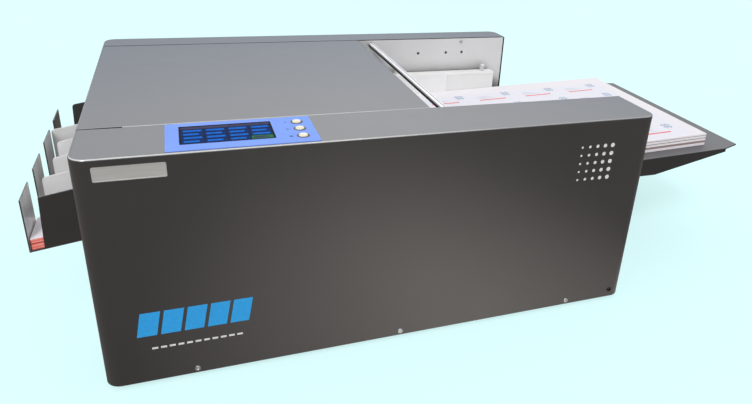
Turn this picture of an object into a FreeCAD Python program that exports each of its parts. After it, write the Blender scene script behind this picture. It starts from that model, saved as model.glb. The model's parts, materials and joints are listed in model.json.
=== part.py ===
import FreeCAD, Part
import math
import os

from FreeCAD import Vector

# Electric business card cutter: sheets feed in from a sloping table on the right, rotary knives slit them
# into lanes, a straight blade cuts the lanes to card length, and the cards drop into a tray on the left.
# Millimetres. While it is modelled, X runs along the machine from the left end of its covers, Y runs back
# from the front cover's face, and Z runs up from the surface that it stands on.

# ---------------------------------------------------------------- casing
cover_gap = 6.0              # under the covers' lower edge
cover_height = 281.0
cover_sheet = 1.5            # sheet thickness of covers and lid
corner_radius = 17.0         # upright corners of the covers
edge_bend = 2.5              # bend along the covers' top edges
front_strip = 85.3           # width of the front cover's top
rear_strip = 47.4            # width of the rear cover's top
frame_plate = 3.0            # side plates that carry the works
base_sheet = 2.5
base_flange = 20.0           # upturned edges that the covers screw to
foot_height = 8.0
foot_radius = 16.0
foot_taper = 2.0             # narrower where it meets the desk
foot_inset = 60.0            # foot centre from the covers' ends and faces
cover_clearance = 0.5        # base plate to covers
flange_corner_gap = 3.0      # base flange to the covers' round corners
end_wall_gap = 5.0           # base plate's end wall to the side plates

# ---------------------------------------------------------------- lid
lid_length = 407.0
lid_seam = 0.9               # gap between the lid and its neighbours
lid_flange = 20.0
lid_pin_inset = 12.0         # pivot from the left end, and down from the top
lid_pin_radius = 4.0
lid_pin_end = 2.0            # pin past the lid's flange
running_gap = 0.05           # radial clearance of a shaft or pin that turns or slides
free_gap = 0.4               # clearance between parts that move past each other

# ---------------------------------------------------------------- control panel
panel_left = 89.0
panel_length = 159.0
panel_front = 3.0
panel_rear = 3.3             # panel to the rear edge of the front cover's top
panel_sheet = 0.8
display_left = 103.0
display_length = 99.0
display_front = 19.0
display_width = 52.5
display_proud = 0.3
button_x = 231.4
button_front = 20.7          # centre of the button nearest the front
button_pitch = 21.9
button_radius = 6.0
button_proud = 1.6
button_travel = 1.0
button_rim = 1.6             # collar that keeps a button under the cover
board_drop = 8.5             # panel board below the cover's sheet
board_sheet = 1.6
board_margin = 5.0           # inside the panel's outline
board_post_inset = 4.0
board_post_radius = 2.5
button_collar = 2.0          # thickness
button_switch = 6.0          # side of the square switch under a button

# ---------------------------------------------------------------- name plate, screws and wall holes
plate_left = 20.5
plate_length = 68.8
plate_drop = 8.7             # below the covers' top
plate_height = 15.8
plate_sheet = 1.0
screw_radius = 2.0
screw_head_radius = 3.5
screw_head_height = 1.5
screw_height = 6.0           # above the covers' lower edge
screw_first = 98.7
screw_pitch = 250.4
screw_count = 3
end_screw_inset = 22.3       # from the right end
end_screw_height = 11.3
wall_hole_radius = 2.5
wall_hole_insets = (174.0, 119.0, 87.0)  # from the right end
wall_hole_drop = 27.5        # below the covers' top
wall_screw_inset = 90.0
wall_screw_drop = 7.5

# ---------------------------------------------------------------- feed table, stack and guides
table_slope = 2.0            # degrees, rising away from the machine
table_drop = 11.0            # surface below the paper path, at the covers' right end
table_margin = 55.0          # table beyond the stack's outer end
table_sheet = 2.0
table_side_gap = 2.65        # table to the side plates
table_flange = 1.5
flange_depth = 25.5          # below the table surface where it leaves the machine
flange_taper_start = 97.0    # beyond the right end
flange_taper_end = 30.0      # short of the table's outer end
flange_tip = 6.0
table_corner_x = 32.0
table_corner_y = 10.0
sheet_length = 450.0
sheet_width = 320.0
stack_height = 20.0
stack_lip = 5.7              # stack's inner edge past the feed roller's axis
stop_height = 14.0           # bent-up stop at the stack's inner edge
stop_inset = 20.0            # stop narrower than the stack, at each side
guide_depth = 19.6
guide_room = 4.75            # guide to the side plate
guide_shaft_gap = 2.0        # guide to the feed roller's shaft
guide_end = 28.0             # guide's outer end to the covers' right end
guide_height = 49.0          # above the table's surface at the covers' right end
guide_lift = 2.0             # underside above the table
guide_recess = 2.0
guide_recess_length = 95.0
guide_recess_low = 4.0       # edge left below the recess
guide_recess_high = 3.0      # edge left above it
guide_play = 0.3             # guide to sheets
guide_stroke = 3.5
guide_pin_radius = 4.0
guide_pin_drop = 10.0        # below the guide's top
guide_pin_inner = 9.0        # from the guide's inner end
guide_pin_outer = 20.5       # from its outer end
guide_pin_grip = 11.0        # length of pin inside a guide
knob_radius = 4.0
knob_height = 12.0
knob_stem_radius = 2.5

# ---------------------------------------------------------------- paper path, rollers and knives
nip_gap = 0.4                # between a lower and an upper roller
roller_radius = 15.0
roller_overhang = 5.0        # roller past the sheets, at each side
shaft_radius = 7.0
journal_radius = 5.0
bearing_radius = 13.0
bearing_width = 8.0
exit_x = 70.0                # exit rollers, from the left end
blade_pitch = 81.0           # exit rollers to shearing plane
transport_pitch = 54.0       # shearing plane to transport rollers
slitter_pitch = 115.0
intake_pitch = 85.0
feed_pitch = 51.0
feed_end = 239.0             # feed roller to the covers' right end
feed_radius = 18.0
feed_sleeve = 36.0
feed_sleeve_pitch = 84.0
knife_radius = 25.0
knife_overlap = 2.0
knife_sheet = 1.2
card_length = 90.0
card_width = 54.0
gutter = 3.0                 # waste strip between two lanes
lane_count = 5
sheet_margin = 4.35          # waste strip along the sheet's front edge
deck_sheet = 2.0
deck_drop = 0.6              # deck surface below the paper path
deck_clearance = 3.0         # deck edge to a roller or knife
tab_inset = 6.0              # deck's ends to the tabs that sit in slots of the side plates
pad_height = 3.0
pad_length = 14.0
pad_width = 60.0

# ---------------------------------------------------------------- cross-cut blade
blade_gap = 0.3
blade_sheet = 5.0
blade_lift = 5.0             # open gap above the paper path
blade_stroke = 10.0
blade_height = 42.0
blade_overhang = 5.0         # blade past the sheets, at each side
bed_knife_sheet = 6.0
bed_knife_height = 30.0
beam_sheet = 16.0
beam_height = 50.0
beam_low_gap = 2.0           # beam above the paper path when the blade is down
beam_headroom = 6.0          # beam to the frame's upper bar
beam_clearance = 2.0         # beam end to the side plates
post_radius = 5.0
post_inset = 9.0
frame_bar_height = 8.0
post_reach = 48.0            # posts below the paper path
frame_headroom = 3.0         # frame to the lid's flange
ledge_width = 4.0
bed_seat = 8.0               # height over which the bed knife bears on its ledge
pinion_radius = 12.0         # pitch radius
pinion_teeth = 16
pinion_width = 10.0
pinion_inset = 15.0
rack_land = 2.7              # solid rack behind its teeth
rack_teeth = 9
tooth_root = 1.1             # below the pitch line, in modules
tooth_tip = 0.8              # above it
tooth_foot = 0.30            # half a tooth's width at its root, as a share of the pitch
tooth_crest = 0.13           # and at its tip

# ---------------------------------------------------------------- drive
gear_teeth = 20
gear_width = 8.0
gear_offset = 8.3            # gear face from the side plate
pulley_radius = 14.0
pulley_width = 10.0
layer_gap = 4.0              # between gears, belt pulleys and feed belt pulleys, side by side
belt_sheet = 1.5
belt_gap = 0.3
motor_back = 15.0            # motor's axis behind the transport rollers'
motor_z = 95.0
motor_pulley_radius = 10.0
motor_size = 57.0
motor_length = 56.0
motor_shaft_radius = 4.0
motor_hole_gap = 1.0         # shaft to its hole in the side plate
motor_wall = 6.0             # housing's wall at the side plate
motor_cap = 8.0              # end cap
motor_cap_wall = 2.0         # left behind the shaft
rotor_radius = 21.0
gearbox_length = 50.0
gearbox_height = 60.0
gearbox_gap = 3.0            # gearbox to the rear cover
motor_can_margin = 0.25      # motor slimmer than its gearbox, at each side
motor_can_length = 80.0
spacer_radius = 4.0
spacer_inset = 6.0

# ---------------------------------------------------------------- card tray, dividers and waste bin
tray_rear_room = 12.6        # tray to the rear side plate
tray_sheet = 1.5
tray_reach = 72.0            # beyond the covers' left end
tray_inner = 25.0            # inside the machine
tray_slope = 8.4             # degrees, falling away from the machine
tray_drop = 47.5             # underside of the floor below the paper path, at the covers' left end
tray_wall_reach = 53.0
tray_wall_height = 68.5      # above the floor's underside, at the covers' left end
tray_wall_slope = 10.4
tray_wall_rake = 3.0         # foot of the wall's outer edge further out than its top
flap_height = 57.0           # from the same level as the wall's height
flap_width = 51.0
flap_margin = 15.0           # last flap to the rear wall's face
flap_count = 4
finger_depth = 22.0
hook_width = 8.0
hook_lift = 9.5              # from the same level
hook_height = 50.0
divider_sheet = 2.0
divider_foot = 10.0
divider_corner = 5.0
divider_reach = (57.0, 53.0, 55.0, 69.5)   # the last one ends just inside the flaps
tray_wall_corner = 5.0       # rear wall's outer upper corner
card_stack_height = 15.0
card_clearance = 0.8
outlet_sheet = 2.0
outlet_head = 12.0           # outlet panel's top to the lid's flange
outlet_margin = 3.0          # outlet opening round the tray
bin_length = 298.0
bin_motor_gap = 7.7          # bin to the drive motor
bin_rear_room = 8.6          # bin to the rear side plate
bin_height = 94.0
bin_wall = 2.0
bin_gap = 1.0
grip_length = 80.0
grip_height = 22.0
grip_drop = 9.0

# ---------------------------------------------------------------- power
tie_rod_radius = 6.0
bin_rod_x = 40.0             # rod above the waste bin
bin_rod_lift = 14.5
end_rod_gap = 40.5           # rod beyond the bin's inner end
end_rod_z = 60.0
table_rod_insets = (195.0, 35.0)  # from the right end
cross_bar_gap = 19.8         # lid to cross bar
cross_bar_width = 8.0
cross_bar_height = 6.0
cross_bar_drop = 6.0
supply_end = 55.0            # supply to the covers' right end
supply_rear_room = 56.6      # supply to the rear side plate
supply_size = (160.0, 98.0, 42.0)
inlet_z = 60.0
module_end = 71.0            # the inlet and its switch share one housing, this far from the right end
module_length = 86.0
module_height = 32.0
module_depth = 26.0
module_flange = 3.0
module_flange_sheet = 1.0
socket_length = 24.0
socket_height = 17.0
socket_depth = 18.0
socket_inset = 24.0          # socket's middle from the housing's right edge
socket_blade_width = 2.0
socket_blade_height = 4.0
socket_blade_drop = 3.0      # blade tips below the flange's face
socket_blades = ((-7.0, -2.5), (7.0, -2.5), (0.0, 3.5))
switch_inset = 12.0          # rocker's middle from the housing's left edge
switch_length = 20.0
switch_height = 27.0
switch_depth = 9.0
switch_cavity = 14.0
switch_clearance = 1.2
switch_dip = 1.0             # depth of the V in the rocker's face
switch_tilt = 6.0            # degrees to either side of level
switch_axle_radius = 1.5
switch_axle_depth = 4.0      # below the cover's face
vent_first = 330.0
vent_pitch = 12.0
vent_count = 12
vent_width = 3.0
vent_height = 60.0
vent_z = 60.0

# ---------------------------------------------------------------- for cutting shapes
past = 1.0                   # a cutter's overrun beyond a face
tolerance = 0.01             # for finding edges by their place

# ---------------------------------------------------------------- worked out from the sizes above
slope = math.radians(table_slope)

# along X
blade_x = exit_x + blade_pitch
transport_x = blade_x + transport_pitch
slitter_x = transport_x + slitter_pitch
intake_x = slitter_x + intake_pitch
feed_x = intake_x + feed_pitch
body_length = feed_x + feed_end
stack_left = feed_x - stack_lip
stack_right = stack_left + sheet_length * math.cos(slope)
table_left = stack_left - table_sheet
table_right = stack_right + table_margin
guide_left = feed_x + shaft_radius + guide_shaft_gap
guide_right = body_length - guide_end
guide_pin_x = (guide_left + guide_pin_inner, guide_right - guide_pin_outer)
motor_x = transport_x - motor_back
cross_bar_x = lid_length + cross_bar_gap
beam_right = blade_x - blade_gap - blade_sheet
beam_left = beam_right - beam_sheet
post_x = (beam_left + beam_right) / 2
pinion_module = 2 * pinion_radius / pinion_teeth
rack_pitch_x = beam_left - rack_land - tooth_root * pinion_module
pinion_x = rack_pitch_x - pinion_radius
bin_left = cover_sheet
bin_right = bin_left + bin_length
module_right = body_length - module_end
module_left = module_right - module_length
inlet_x = module_right - socket_inset
switch_x = module_left + switch_inset

# along Y
channel_width = sheet_width + 2 * (guide_play + guide_depth + guide_room)
channel_front = front_strip
channel_rear = channel_front + channel_width
channel_mid = (channel_front + channel_rear) / 2
body_depth = channel_rear + rear_strip
front_outer = channel_front - frame_plate
rear_outer = channel_rear + frame_plate
panel_width = front_strip - panel_front - panel_rear
stack_front_y = channel_mid - sheet_width / 2
stack_rear_y = channel_mid + sheet_width / 2
lane_pitch = card_width + gutter
lane_front = stack_front_y + sheet_margin
roller_length = sheet_width + 2 * roller_overhang
tray_front = lane_front - card_clearance - tray_sheet
tray_rear = channel_rear - tray_rear_room
flap_pitch = (tray_rear - tray_front - flap_width - flap_margin) / (flap_count - 1)
bin_front = channel_front + motor_length + bin_motor_gap
bin_rear = channel_rear - bin_rear_room
pulley_offset = gear_offset + gear_width + layer_gap
feed_pulley_offset = pulley_offset + pulley_width + layer_gap

# heights
base_z = foot_height
base_top = base_z + base_sheet
body_top = cover_gap + cover_height
sheet_under = body_top - cover_sheet
flange_under = body_top - lid_flange
beam_lift = blade_stroke + beam_low_gap
post_top = flange_under - frame_headroom
path_z = post_top - frame_bar_height - beam_headroom - beam_height - beam_lift
post_bottom = path_z - post_reach
pinion_z = path_z + beam_lift + beam_height / 2
lower_z = path_z - nip_gap / 2 - roller_radius
upper_z = path_z + nip_gap / 2 + roller_radius
knife_centres = 2 * knife_radius - knife_overlap
slitter_lower_z = path_z - knife_centres / 2
slitter_upper_z = path_z + knife_centres / 2
slitter_pulley_radius = lower_z + pulley_radius - slitter_lower_z
table_height = path_z - table_drop
guide_top = table_height + guide_height
guide_pin_z = guide_top - guide_pin_drop
tray_floor_z = path_z - tray_drop
tray_wall_top = tray_floor_z + tray_wall_height
flap_top = tray_floor_z + flap_height
tray_fall = math.tan(math.radians(tray_slope))
tray_wall_fall = math.tan(math.radians(tray_wall_slope))
outlet_top = flange_under - outlet_head
bin_bottom = base_top + bin_gap
bin_top = bin_bottom + bin_height
origin = Vector((table_right - tray_reach) / 2, body_depth / 2, 0)


# ---------------------------------------------------------------- shapes in common
def box(x, y, z):
    """Block between the two values of each of its three pairs."""
    return Part.makeBox(x[1] - x[0], y[1] - y[0], z[1] - z[0], Vector(x[0], y[0], z[0]))


def rod_y(x, z, radius, y):
    """Round bar along Y."""
    return Part.makeCylinder(radius, y[1] - y[0], Vector(x, y[0], z), Vector(0, 1, 0))


def rod_z(x, y, radius, z):
    """Upright round bar."""
    return Part.makeCylinder(radius, z[1] - z[0], Vector(x, y, z[0]))


def plate_y(points, y):
    """Flat plate with an outline of (x, z) points, between two values of Y."""
    outline = Part.makePolygon([Vector(px, y[0], pz) for px, pz in points + points[:1]])
    return Part.Face(outline).extrude(Vector(0, y[1] - y[0], 0))


def plate_z(points, z):
    """Flat plate with an outline of (x, y) points, between two heights."""
    outline = Part.makePolygon([Vector(px, py, z[0]) for px, py in points + points[:1]])
    return Part.Face(outline).extrude(Vector(0, 0, z[1] - z[0]))


def mirror_y(shape):
    """The same shape on the other side of the channel's middle."""
    return shape.mirror(Vector(0, channel_mid, 0), Vector(0, 1, 0))


def round_upright(shape, radius, below_y=math.inf):
    """Rounds the upright edges whose Y is less than below_y."""
    edges = []
    for edge in shape.Edges:
        place = edge.BoundBox
        if place.XLength + place.YLength < tolerance and place.YMin < below_y:
            edges.append(edge)
    return shape.makeFillet(radius, edges)


def arc_about(x, z, radius, start, end):
    """Arc round (x, z) in the plane Y = 0, from one angle to another."""
    def at(angle):
        return Vector(x + radius * math.cos(angle), 0, z + radius * math.sin(angle))

    return Part.Arc(at(start), at((start + end) / 2), at(end)).toShape()


def save(node, shape):
    """Writes one node with the machine's origin under its middle."""
    shape.translated(-origin).exportStep("parts/" + node + ".step")


# ---------------------------------------------------------------- casing
def cover_shell(strip):
    """Cover over one side of the machine: face, top strip and rounded ends, open inwards and below."""
    shell = box((0, body_length), (0, strip), (cover_gap, body_top))
    shell = round_upright(shell, corner_radius, cover_sheet)
    top_edges = []
    for edge in shell.Edges:
        place = edge.BoundBox
        if place.ZMin > body_top - tolerance and place.YMin < strip - tolerance:
            top_edges.append(edge)
    shell = shell.makeFillet(edge_bend, top_edges)
    inside = box(
        (cover_sheet, body_length - cover_sheet), (cover_sheet, strip + past), (cover_gap - past, sheet_under)
    )
    inside = round_upright(inside, corner_radius - cover_sheet, 2 * cover_sheet)
    return shell.cut(inside)


def screw_places():
    """(x, z) of the screws in the face of each cover."""
    places = [(screw_first + i * screw_pitch, cover_gap + screw_height) for i in range(screw_count)]
    places.append((body_length - end_screw_inset, cover_gap + end_screw_height))
    return places


def front_cover():
    """Front cover: a bent wrap, and welded on its upper edge the top plate that carries the panel."""
    cover = cover_shell(front_strip)
    for x, z in screw_places():
        cover = cover.cut(rod_y(x, z, screw_radius, (-past, cover_sheet + past)))
    for y in button_places():
        cover = cover.cut(button_hole(y, body_top))
    top = box((-past, body_length + past), (-past, front_strip + past), (sheet_under, body_top + past))
    return Part.makeCompound(cover.cut(top).Solids + cover.common(top).Solids)


def rear_cover():
    cover = cover_shell(rear_strip).mirror(Vector(0, body_depth / 2, 0), Vector(0, 1, 0))
    face = (body_depth - cover_sheet - past, body_depth + past)
    for x, z in screw_places():
        cover = cover.cut(rod_y(x, z, screw_radius, face))
    cover = cover.cut(module_block(0, face))
    for i in range(vent_count):
        left = vent_first + i * vent_pitch
        cover = cover.cut(box((left, left + vent_width), face, (vent_z, vent_z + vent_height)))
    return cover


def centred_block(x, z, length, height, y):
    """Block centred on (x, z), between two values of Y."""
    return box((x - length / 2, x + length / 2), y, (z - height / 2, z + height / 2))


def module_block(margin, y):
    """Outline of the power module, with a margin round it, between two values of Y."""
    half = module_height / 2 + margin
    return box((module_left - margin, module_right + margin), y, (inlet_z - half, inlet_z + half))


def side_plate():
    """Front side plate with its bearing seats. The rear one is its mirror image."""
    ends = (cover_sheet, body_length - cover_sheet)
    plate = box(ends, (front_outer, channel_front), (base_top, sheet_under))
    through = (front_outer - past, channel_front + past)
    for x, z in bearing_places():
        plate = plate.cut(rod_y(x, z, bearing_radius, through))
    for inset in wall_hole_insets:
        hole = rod_y(body_length - inset, body_top - wall_hole_drop, wall_hole_radius, through)
        plate = plate.cut(hole)
    wall_screw_x = body_length - wall_screw_inset
    plate = plate.cut(rod_y(wall_screw_x, body_top - wall_screw_drop, screw_radius, through))
    for x in guide_pin_x:
        plate = plate.cut(rod_y(x, guide_pin_z, guide_pin_radius, through))
    for left, right, drop in deck_places():
        plate = plate.cut(deck_tab(left, right, drop, through))
    return plate.cut(rod_y(lid_pin_inset, body_top - lid_pin_inset, lid_pin_radius, through))


def front_side_plate():
    through = (front_outer - past, channel_front + past)
    return side_plate().cut(rod_y(motor_x, motor_z, motor_shaft_radius + motor_hole_gap, through))


def base_plate():
    """Floor of the machine, with upturned edges for the cover screws and an upturned end under the table."""
    inset = cover_sheet + cover_clearance
    plate = box((inset, body_length - inset), (inset, body_depth - inset), (base_z, base_top))
    plate = round_upright(plate, corner_radius)
    corner = corner_radius + flange_corner_gap
    for y in (cover_sheet, body_depth - cover_sheet - base_sheet):
        flange = box((corner, body_length - corner), (y, y + base_sheet), (base_z, base_z + base_flange))
        plate = plate.fuse(flange)
    end_x = body_length - cover_sheet - base_sheet
    end_y = (channel_front + end_wall_gap, channel_rear - end_wall_gap)
    end_top = table_height - flange_depth - free_gap
    plate = plate.fuse(box((end_x - base_sheet, end_x), end_y, (base_z, end_top)))
    screw_reach = cover_sheet + 2 * base_sheet
    for x, z in screw_places():
        plate = plate.cut(rod_y(x, z, screw_radius, (0, screw_reach)))
        plate = plate.cut(rod_y(x, z, screw_radius, (body_depth - screw_reach, body_depth)))
    return plate.removeSplitter()


def rubber_feet():
    feet = []
    for x in (foot_inset, body_length - foot_inset):
        for y in (foot_inset, body_depth - foot_inset):
            feet.append(Part.makeCone(foot_radius - foot_taper, foot_radius, foot_height, Vector(x, y, 0)))
    return Part.makeCompound(feet)


def cover_screw(x, z, y, way):
    """Dome-headed screw with its head on the face at y, pointing along way (+1 or -1 in Y)."""
    seat = Vector(x, y, z)
    out = Vector(0, -way, 0)
    head = Part.makeCone(screw_head_radius, screw_head_radius / 2, screw_head_height, seat, out)
    shank = Part.makeCylinder(screw_radius, cover_sheet + base_sheet, seat, Vector(0, way, 0))
    return head.fuse(shank)


def cover_screws():
    screws = []
    for x, z in screw_places():
        screws.append(cover_screw(x, z, 0, 1))
        screws.append(cover_screw(x, z, body_depth, -1))
    wall_screw_x = body_length - wall_screw_inset
    wall_z = body_top - wall_screw_drop
    screws.append(cover_screw(wall_screw_x, wall_z, channel_front, -1))
    screws.append(cover_screw(wall_screw_x, wall_z, channel_rear, 1))
    return Part.makeCompound(screws)


def name_plate():
    top = body_top - plate_drop
    return box((plate_left, plate_left + plate_length), (-plate_sheet, 0), (top - plate_height, top))


def tie_rods():
    """Cross rods between the side plates. Two of them carry the feed table."""
    places = [(bin_rod_x, bin_top + bin_rod_lift), (bin_right + end_rod_gap, end_rod_z)]
    for inset in table_rod_insets:
        x = body_length - inset
        places.append((x, table_under(x) - tie_rod_radius / math.cos(slope)))
    reach = (channel_front, channel_rear)
    return Part.makeCompound([rod_y(x, z, tie_rod_radius, reach) for x, z in places])


def cross_bar():
    """Flat bar across the infeed opening, next to the lid."""
    width = (cross_bar_x, cross_bar_x + cross_bar_width)
    top = body_top - cross_bar_drop
    return box(width, (channel_front, channel_rear), (top - cross_bar_height, top))


# ---------------------------------------------------------------- lid
def top_lid():
    front = channel_front + lid_seam
    rear = channel_rear - lid_seam
    lid = box((0, lid_length), (front, rear), (flange_under, body_top))
    top_edges = [edge for edge in lid.Edges if edge.BoundBox.ZMin > body_top - tolerance]
    lid = lid.makeFillet(edge_bend, top_edges)
    inside = box(
        (cover_sheet, lid_length - cover_sheet),
        (front + cover_sheet, rear - cover_sheet),
        (flange_under - past, sheet_under),
    )
    through = (front - past, rear + past)
    pivot = rod_y(lid_pin_inset, body_top - lid_pin_inset, lid_pin_radius + running_gap, through)
    return lid.cut(inside).cut(pivot)


def lid_pivot_pins():
    """One pin through each side plate, long enough to pass the lid's flange."""
    reach = channel_front + lid_seam + cover_sheet + lid_pin_end
    pin = rod_y(lid_pin_inset, body_top - lid_pin_inset, lid_pin_radius, (front_outer, reach))
    return Part.makeCompound([pin, mirror_y(pin)])


# ---------------------------------------------------------------- control panel
def button_places():
    return [button_front + i * button_pitch for i in range(3)]


def button_hole(y, top):
    """Cutter for a button's hole in a sheet whose upper face is at top."""
    return rod_z(button_x, y, button_radius + free_gap, (top - cover_sheet - past, top + past))


def panel_overlay():
    top = body_top + panel_sheet
    overlay = box(
        (panel_left, panel_left + panel_length), (panel_front, panel_front + panel_width), (body_top, top)
    )
    for y in button_places():
        overlay = overlay.cut(button_hole(y, top))
    return overlay.cut(display())


def display():
    return box(
        (display_left, display_left + display_length),
        (display_front, display_front + display_width),
        (body_top, body_top + panel_sheet + display_proud),
    )


def button(y):
    """Round button with a collar that stops it under the cover."""
    collar_top = sheet_under - free_gap
    cap = rod_z(button_x, y, button_radius, (collar_top, body_top + panel_sheet + button_proud))
    collar = rod_z(button_x, y, button_radius + button_rim, (collar_top - button_collar, collar_top))
    return cap.fuse(collar)


def panel_board():
    """Circuit board under the front strip, hung on four posts, with a switch under each button."""
    top = sheet_under - board_drop
    left = panel_left + board_margin
    right = panel_left + panel_length - board_margin
    front = panel_front + board_margin
    rear = panel_front + panel_width - board_margin
    pieces = box((left, right), (front, rear), (top - board_sheet, top))
    switch_top = sheet_under - button_collar - button_travel - 2 * free_gap
    half = button_switch / 2
    for y in button_places():
        switch = box((button_x - half, button_x + half), (y - half, y + half), (top, switch_top))
        pieces = pieces.fuse(switch)
    for x in (left + board_post_inset, right - board_post_inset):
        for y in (front + board_post_inset, rear - board_post_inset):
            pieces = pieces.fuse(rod_z(x, y, board_post_radius, (top, sheet_under)))
    return pieces


# ---------------------------------------------------------------- feed table, stack and guides
def table_surface(x):
    return table_height + (x - body_length) * math.tan(slope)


def table_under(x):
    return table_surface(x) - table_sheet / math.cos(slope)


def stack_top(x):
    return table_surface(x) + stack_height / math.cos(slope)


def layer(left, right, under, over, y):
    """Plate between two sloping surfaces, each given as a function of X."""
    outline = [(left, over(left)), (right, over(right)), (right, under(right)), (left, under(left))]
    return plate_y(outline, y)


def feed_table():
    """Sloping sheet with tapered side flanges and a bent-up stop for the stack."""
    front = channel_front + table_side_gap
    rear = channel_rear - table_side_gap
    table = layer(table_left, table_right, table_under, table_surface, (front, rear))
    corner = [
        (table_right - table_corner_x, front - past),
        (table_right + past, front - past),
        (table_right + past, front + table_corner_y),
        (table_right, front + table_corner_y),
        (table_right - table_corner_x, front),
    ]
    cutter = plate_z(corner, (0, body_top))
    table = table.cut(cutter).cut(mirror_y(cutter))
    taper_start = body_length + flange_taper_start
    taper_end = table_right - flange_taper_end
    low = table_height - flange_depth
    profile = [
        (table_left, table_surface(table_left)),
        (table_left, low),
        (taper_start, low),
        (taper_end, table_surface(taper_end) - flange_tip),
        (taper_end, table_surface(taper_end)),
    ]
    flange = plate_y(profile, (front, front + table_flange))
    table = table.fuse(flange).fuse(mirror_y(flange))
    stop = box(
        (table_left, table_left + table_sheet),
        (stack_front_y + stop_inset, stack_rear_y - stop_inset),
        (table_under(table_left), table_surface(table_left) + stop_height),
    )
    return table.fuse(stop).removeSplitter().cut(tie_rods())


def sheet_stack():
    """Stack of printed sheets on the table, against its stop."""
    return layer(stack_left, stack_right, table_surface, stack_top, (stack_front_y, stack_rear_y))


def guide_block():
    """Front side guide, a fixed one. The rear guide is its mirror image, free to slide on its pins."""
    front = stack_front_y - guide_play - guide_depth
    rear = stack_front_y - guide_play
    outline = [
        (guide_left, table_surface(guide_left) + guide_lift),
        (guide_right, table_surface(guide_right) + guide_lift),
        (guide_right, guide_top),
        (guide_left, guide_top),
    ]
    block = plate_y(outline, (front, rear))
    recess = box(
        (guide_right - guide_recess_length, guide_right + past),
        (rear - guide_recess, rear + past),
        (table_surface(guide_right) + guide_lift + guide_recess_low, guide_top - guide_recess_high),
    )
    return block.cut(recess)


def front_guide():
    block = guide_block()
    for x in guide_pin_x:
        block = block.cut(rod_y(x, guide_pin_z, guide_pin_radius, (channel_front, guide_pin_end())))
    return block


def rear_guide():
    block = mirror_y(guide_block())
    bore_end = 2 * channel_mid - guide_pin_end() - guide_stroke - free_gap
    for x in guide_pin_x:
        block = block.cut(rod_y(x, guide_pin_z, guide_pin_radius + running_gap, (bore_end, channel_rear)))
        stem_hole = rod_z(x, knob_y(), knob_stem_radius + running_gap, (guide_pin_z, guide_top + past))
        block = block.cut(stem_hole)
    return block


def guide_pin_end():
    """How far the front guide's pins reach. The rear guide's are their mirror image."""
    return stack_front_y - guide_play - guide_depth + guide_pin_grip


def guide_pins():
    pins = []
    for x in guide_pin_x:
        pin = rod_y(x, guide_pin_z, guide_pin_radius, (front_outer, guide_pin_end()))
        pins += [pin, mirror_y(pin)]
    return Part.makeCompound(pins)


def knob_y():
    return stack_rear_y + guide_play + guide_depth / 2


def guide_knob(x):
    """Thumb screw that clamps the rear guide to its pin."""
    seat = guide_top + free_gap
    head = rod_z(x, knob_y(), knob_radius, (seat, seat + knob_height))
    stem = rod_z(x, knob_y(), knob_stem_radius, (guide_pin_z + guide_pin_radius + free_gap, seat))
    return head.fuse(stem)


# ---------------------------------------------------------------- rollers, knives and decks
def bearing_places():
    """(x, z) of every shaft that runs in the side plates."""
    places = [(feed_x, feed_z())]
    for x in (intake_x, transport_x, exit_x):
        places += [(x, lower_z), (x, upper_z)]
    places += [(slitter_x, slitter_lower_z), (slitter_x, slitter_upper_z), (pinion_x, pinion_z)]
    return places


def shaft_bearings():
    bearings = []
    for x, z in bearing_places():
        reach = (channel_front - bearing_width, channel_front)
        ring = rod_y(x, z, bearing_radius, reach).cut(rod_y(x, z, journal_radius + running_gap, reach))
        bearings += [ring, mirror_y(ring)]
    return Part.makeCompound(bearings)


def feed_z():
    return stack_top(feed_x) + free_gap + feed_radius


def shaft(x, z, drive_end):
    """Roller shaft: thick between the side plates, with journals through them and a longer drive end."""
    inner = (channel_front + free_gap, channel_rear - free_gap)
    journal = (drive_end, channel_rear + bearing_width)
    return rod_y(x, z, shaft_radius, inner).fuse(rod_y(x, z, journal_radius, journal))


def tooth_corners(root, tip):
    """Corners of one tooth: distance out, and place along the pitch line as a share of the pitch."""
    return ((root, -tooth_foot), (tip, -tooth_crest), (tip, tooth_crest), (root, tooth_foot))


def gear(x, z, pitch_radius, teeth, y, turned):
    """Spur gear along Y. One tooth points up, or where turned is true a gap does."""
    module = 2 * pitch_radius / teeth
    step = 2 * math.pi / teeth
    root = pitch_radius - tooth_root * module
    tip = pitch_radius + tooth_tip * module
    points = []
    for i in range(teeth):
        middle = (i + (0.5 if turned else 0.0)) * step
        for radius, part in tooth_corners(root, tip):
            angle = middle + part * step
            points.append((x + radius * math.sin(angle), z + radius * math.cos(angle)))
    return plate_y(points, y)


def gear_span():
    return (front_outer - gear_offset - gear_width, front_outer - gear_offset)


def pulley_span():
    return (front_outer - pulley_offset - pulley_width, front_outer - pulley_offset)


def feed_pulley_span():
    return (front_outer - feed_pulley_offset - pulley_width, front_outer - feed_pulley_offset)


def roller_sleeve(x, z, radius, length, middle=channel_mid):
    """Rubber sleeve on a shaft."""
    reach = (middle - length / 2, middle + length / 2)
    return rod_y(x, z, radius, reach).cut(rod_y(x, z, shaft_radius, reach))


def lower_roller(x):
    """Driven roller under the path, with its belt pulley and gear."""
    core = shaft(x, lower_z, pulley_span()[0])
    core = core.fuse(rod_y(x, lower_z, pulley_radius, pulley_span()))
    core = core.fuse(gear(x, lower_z, (upper_z - lower_z) / 2, gear_teeth, gear_span(), False))
    return Part.makeCompound([core, roller_sleeve(x, lower_z, roller_radius, roller_length)])


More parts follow.
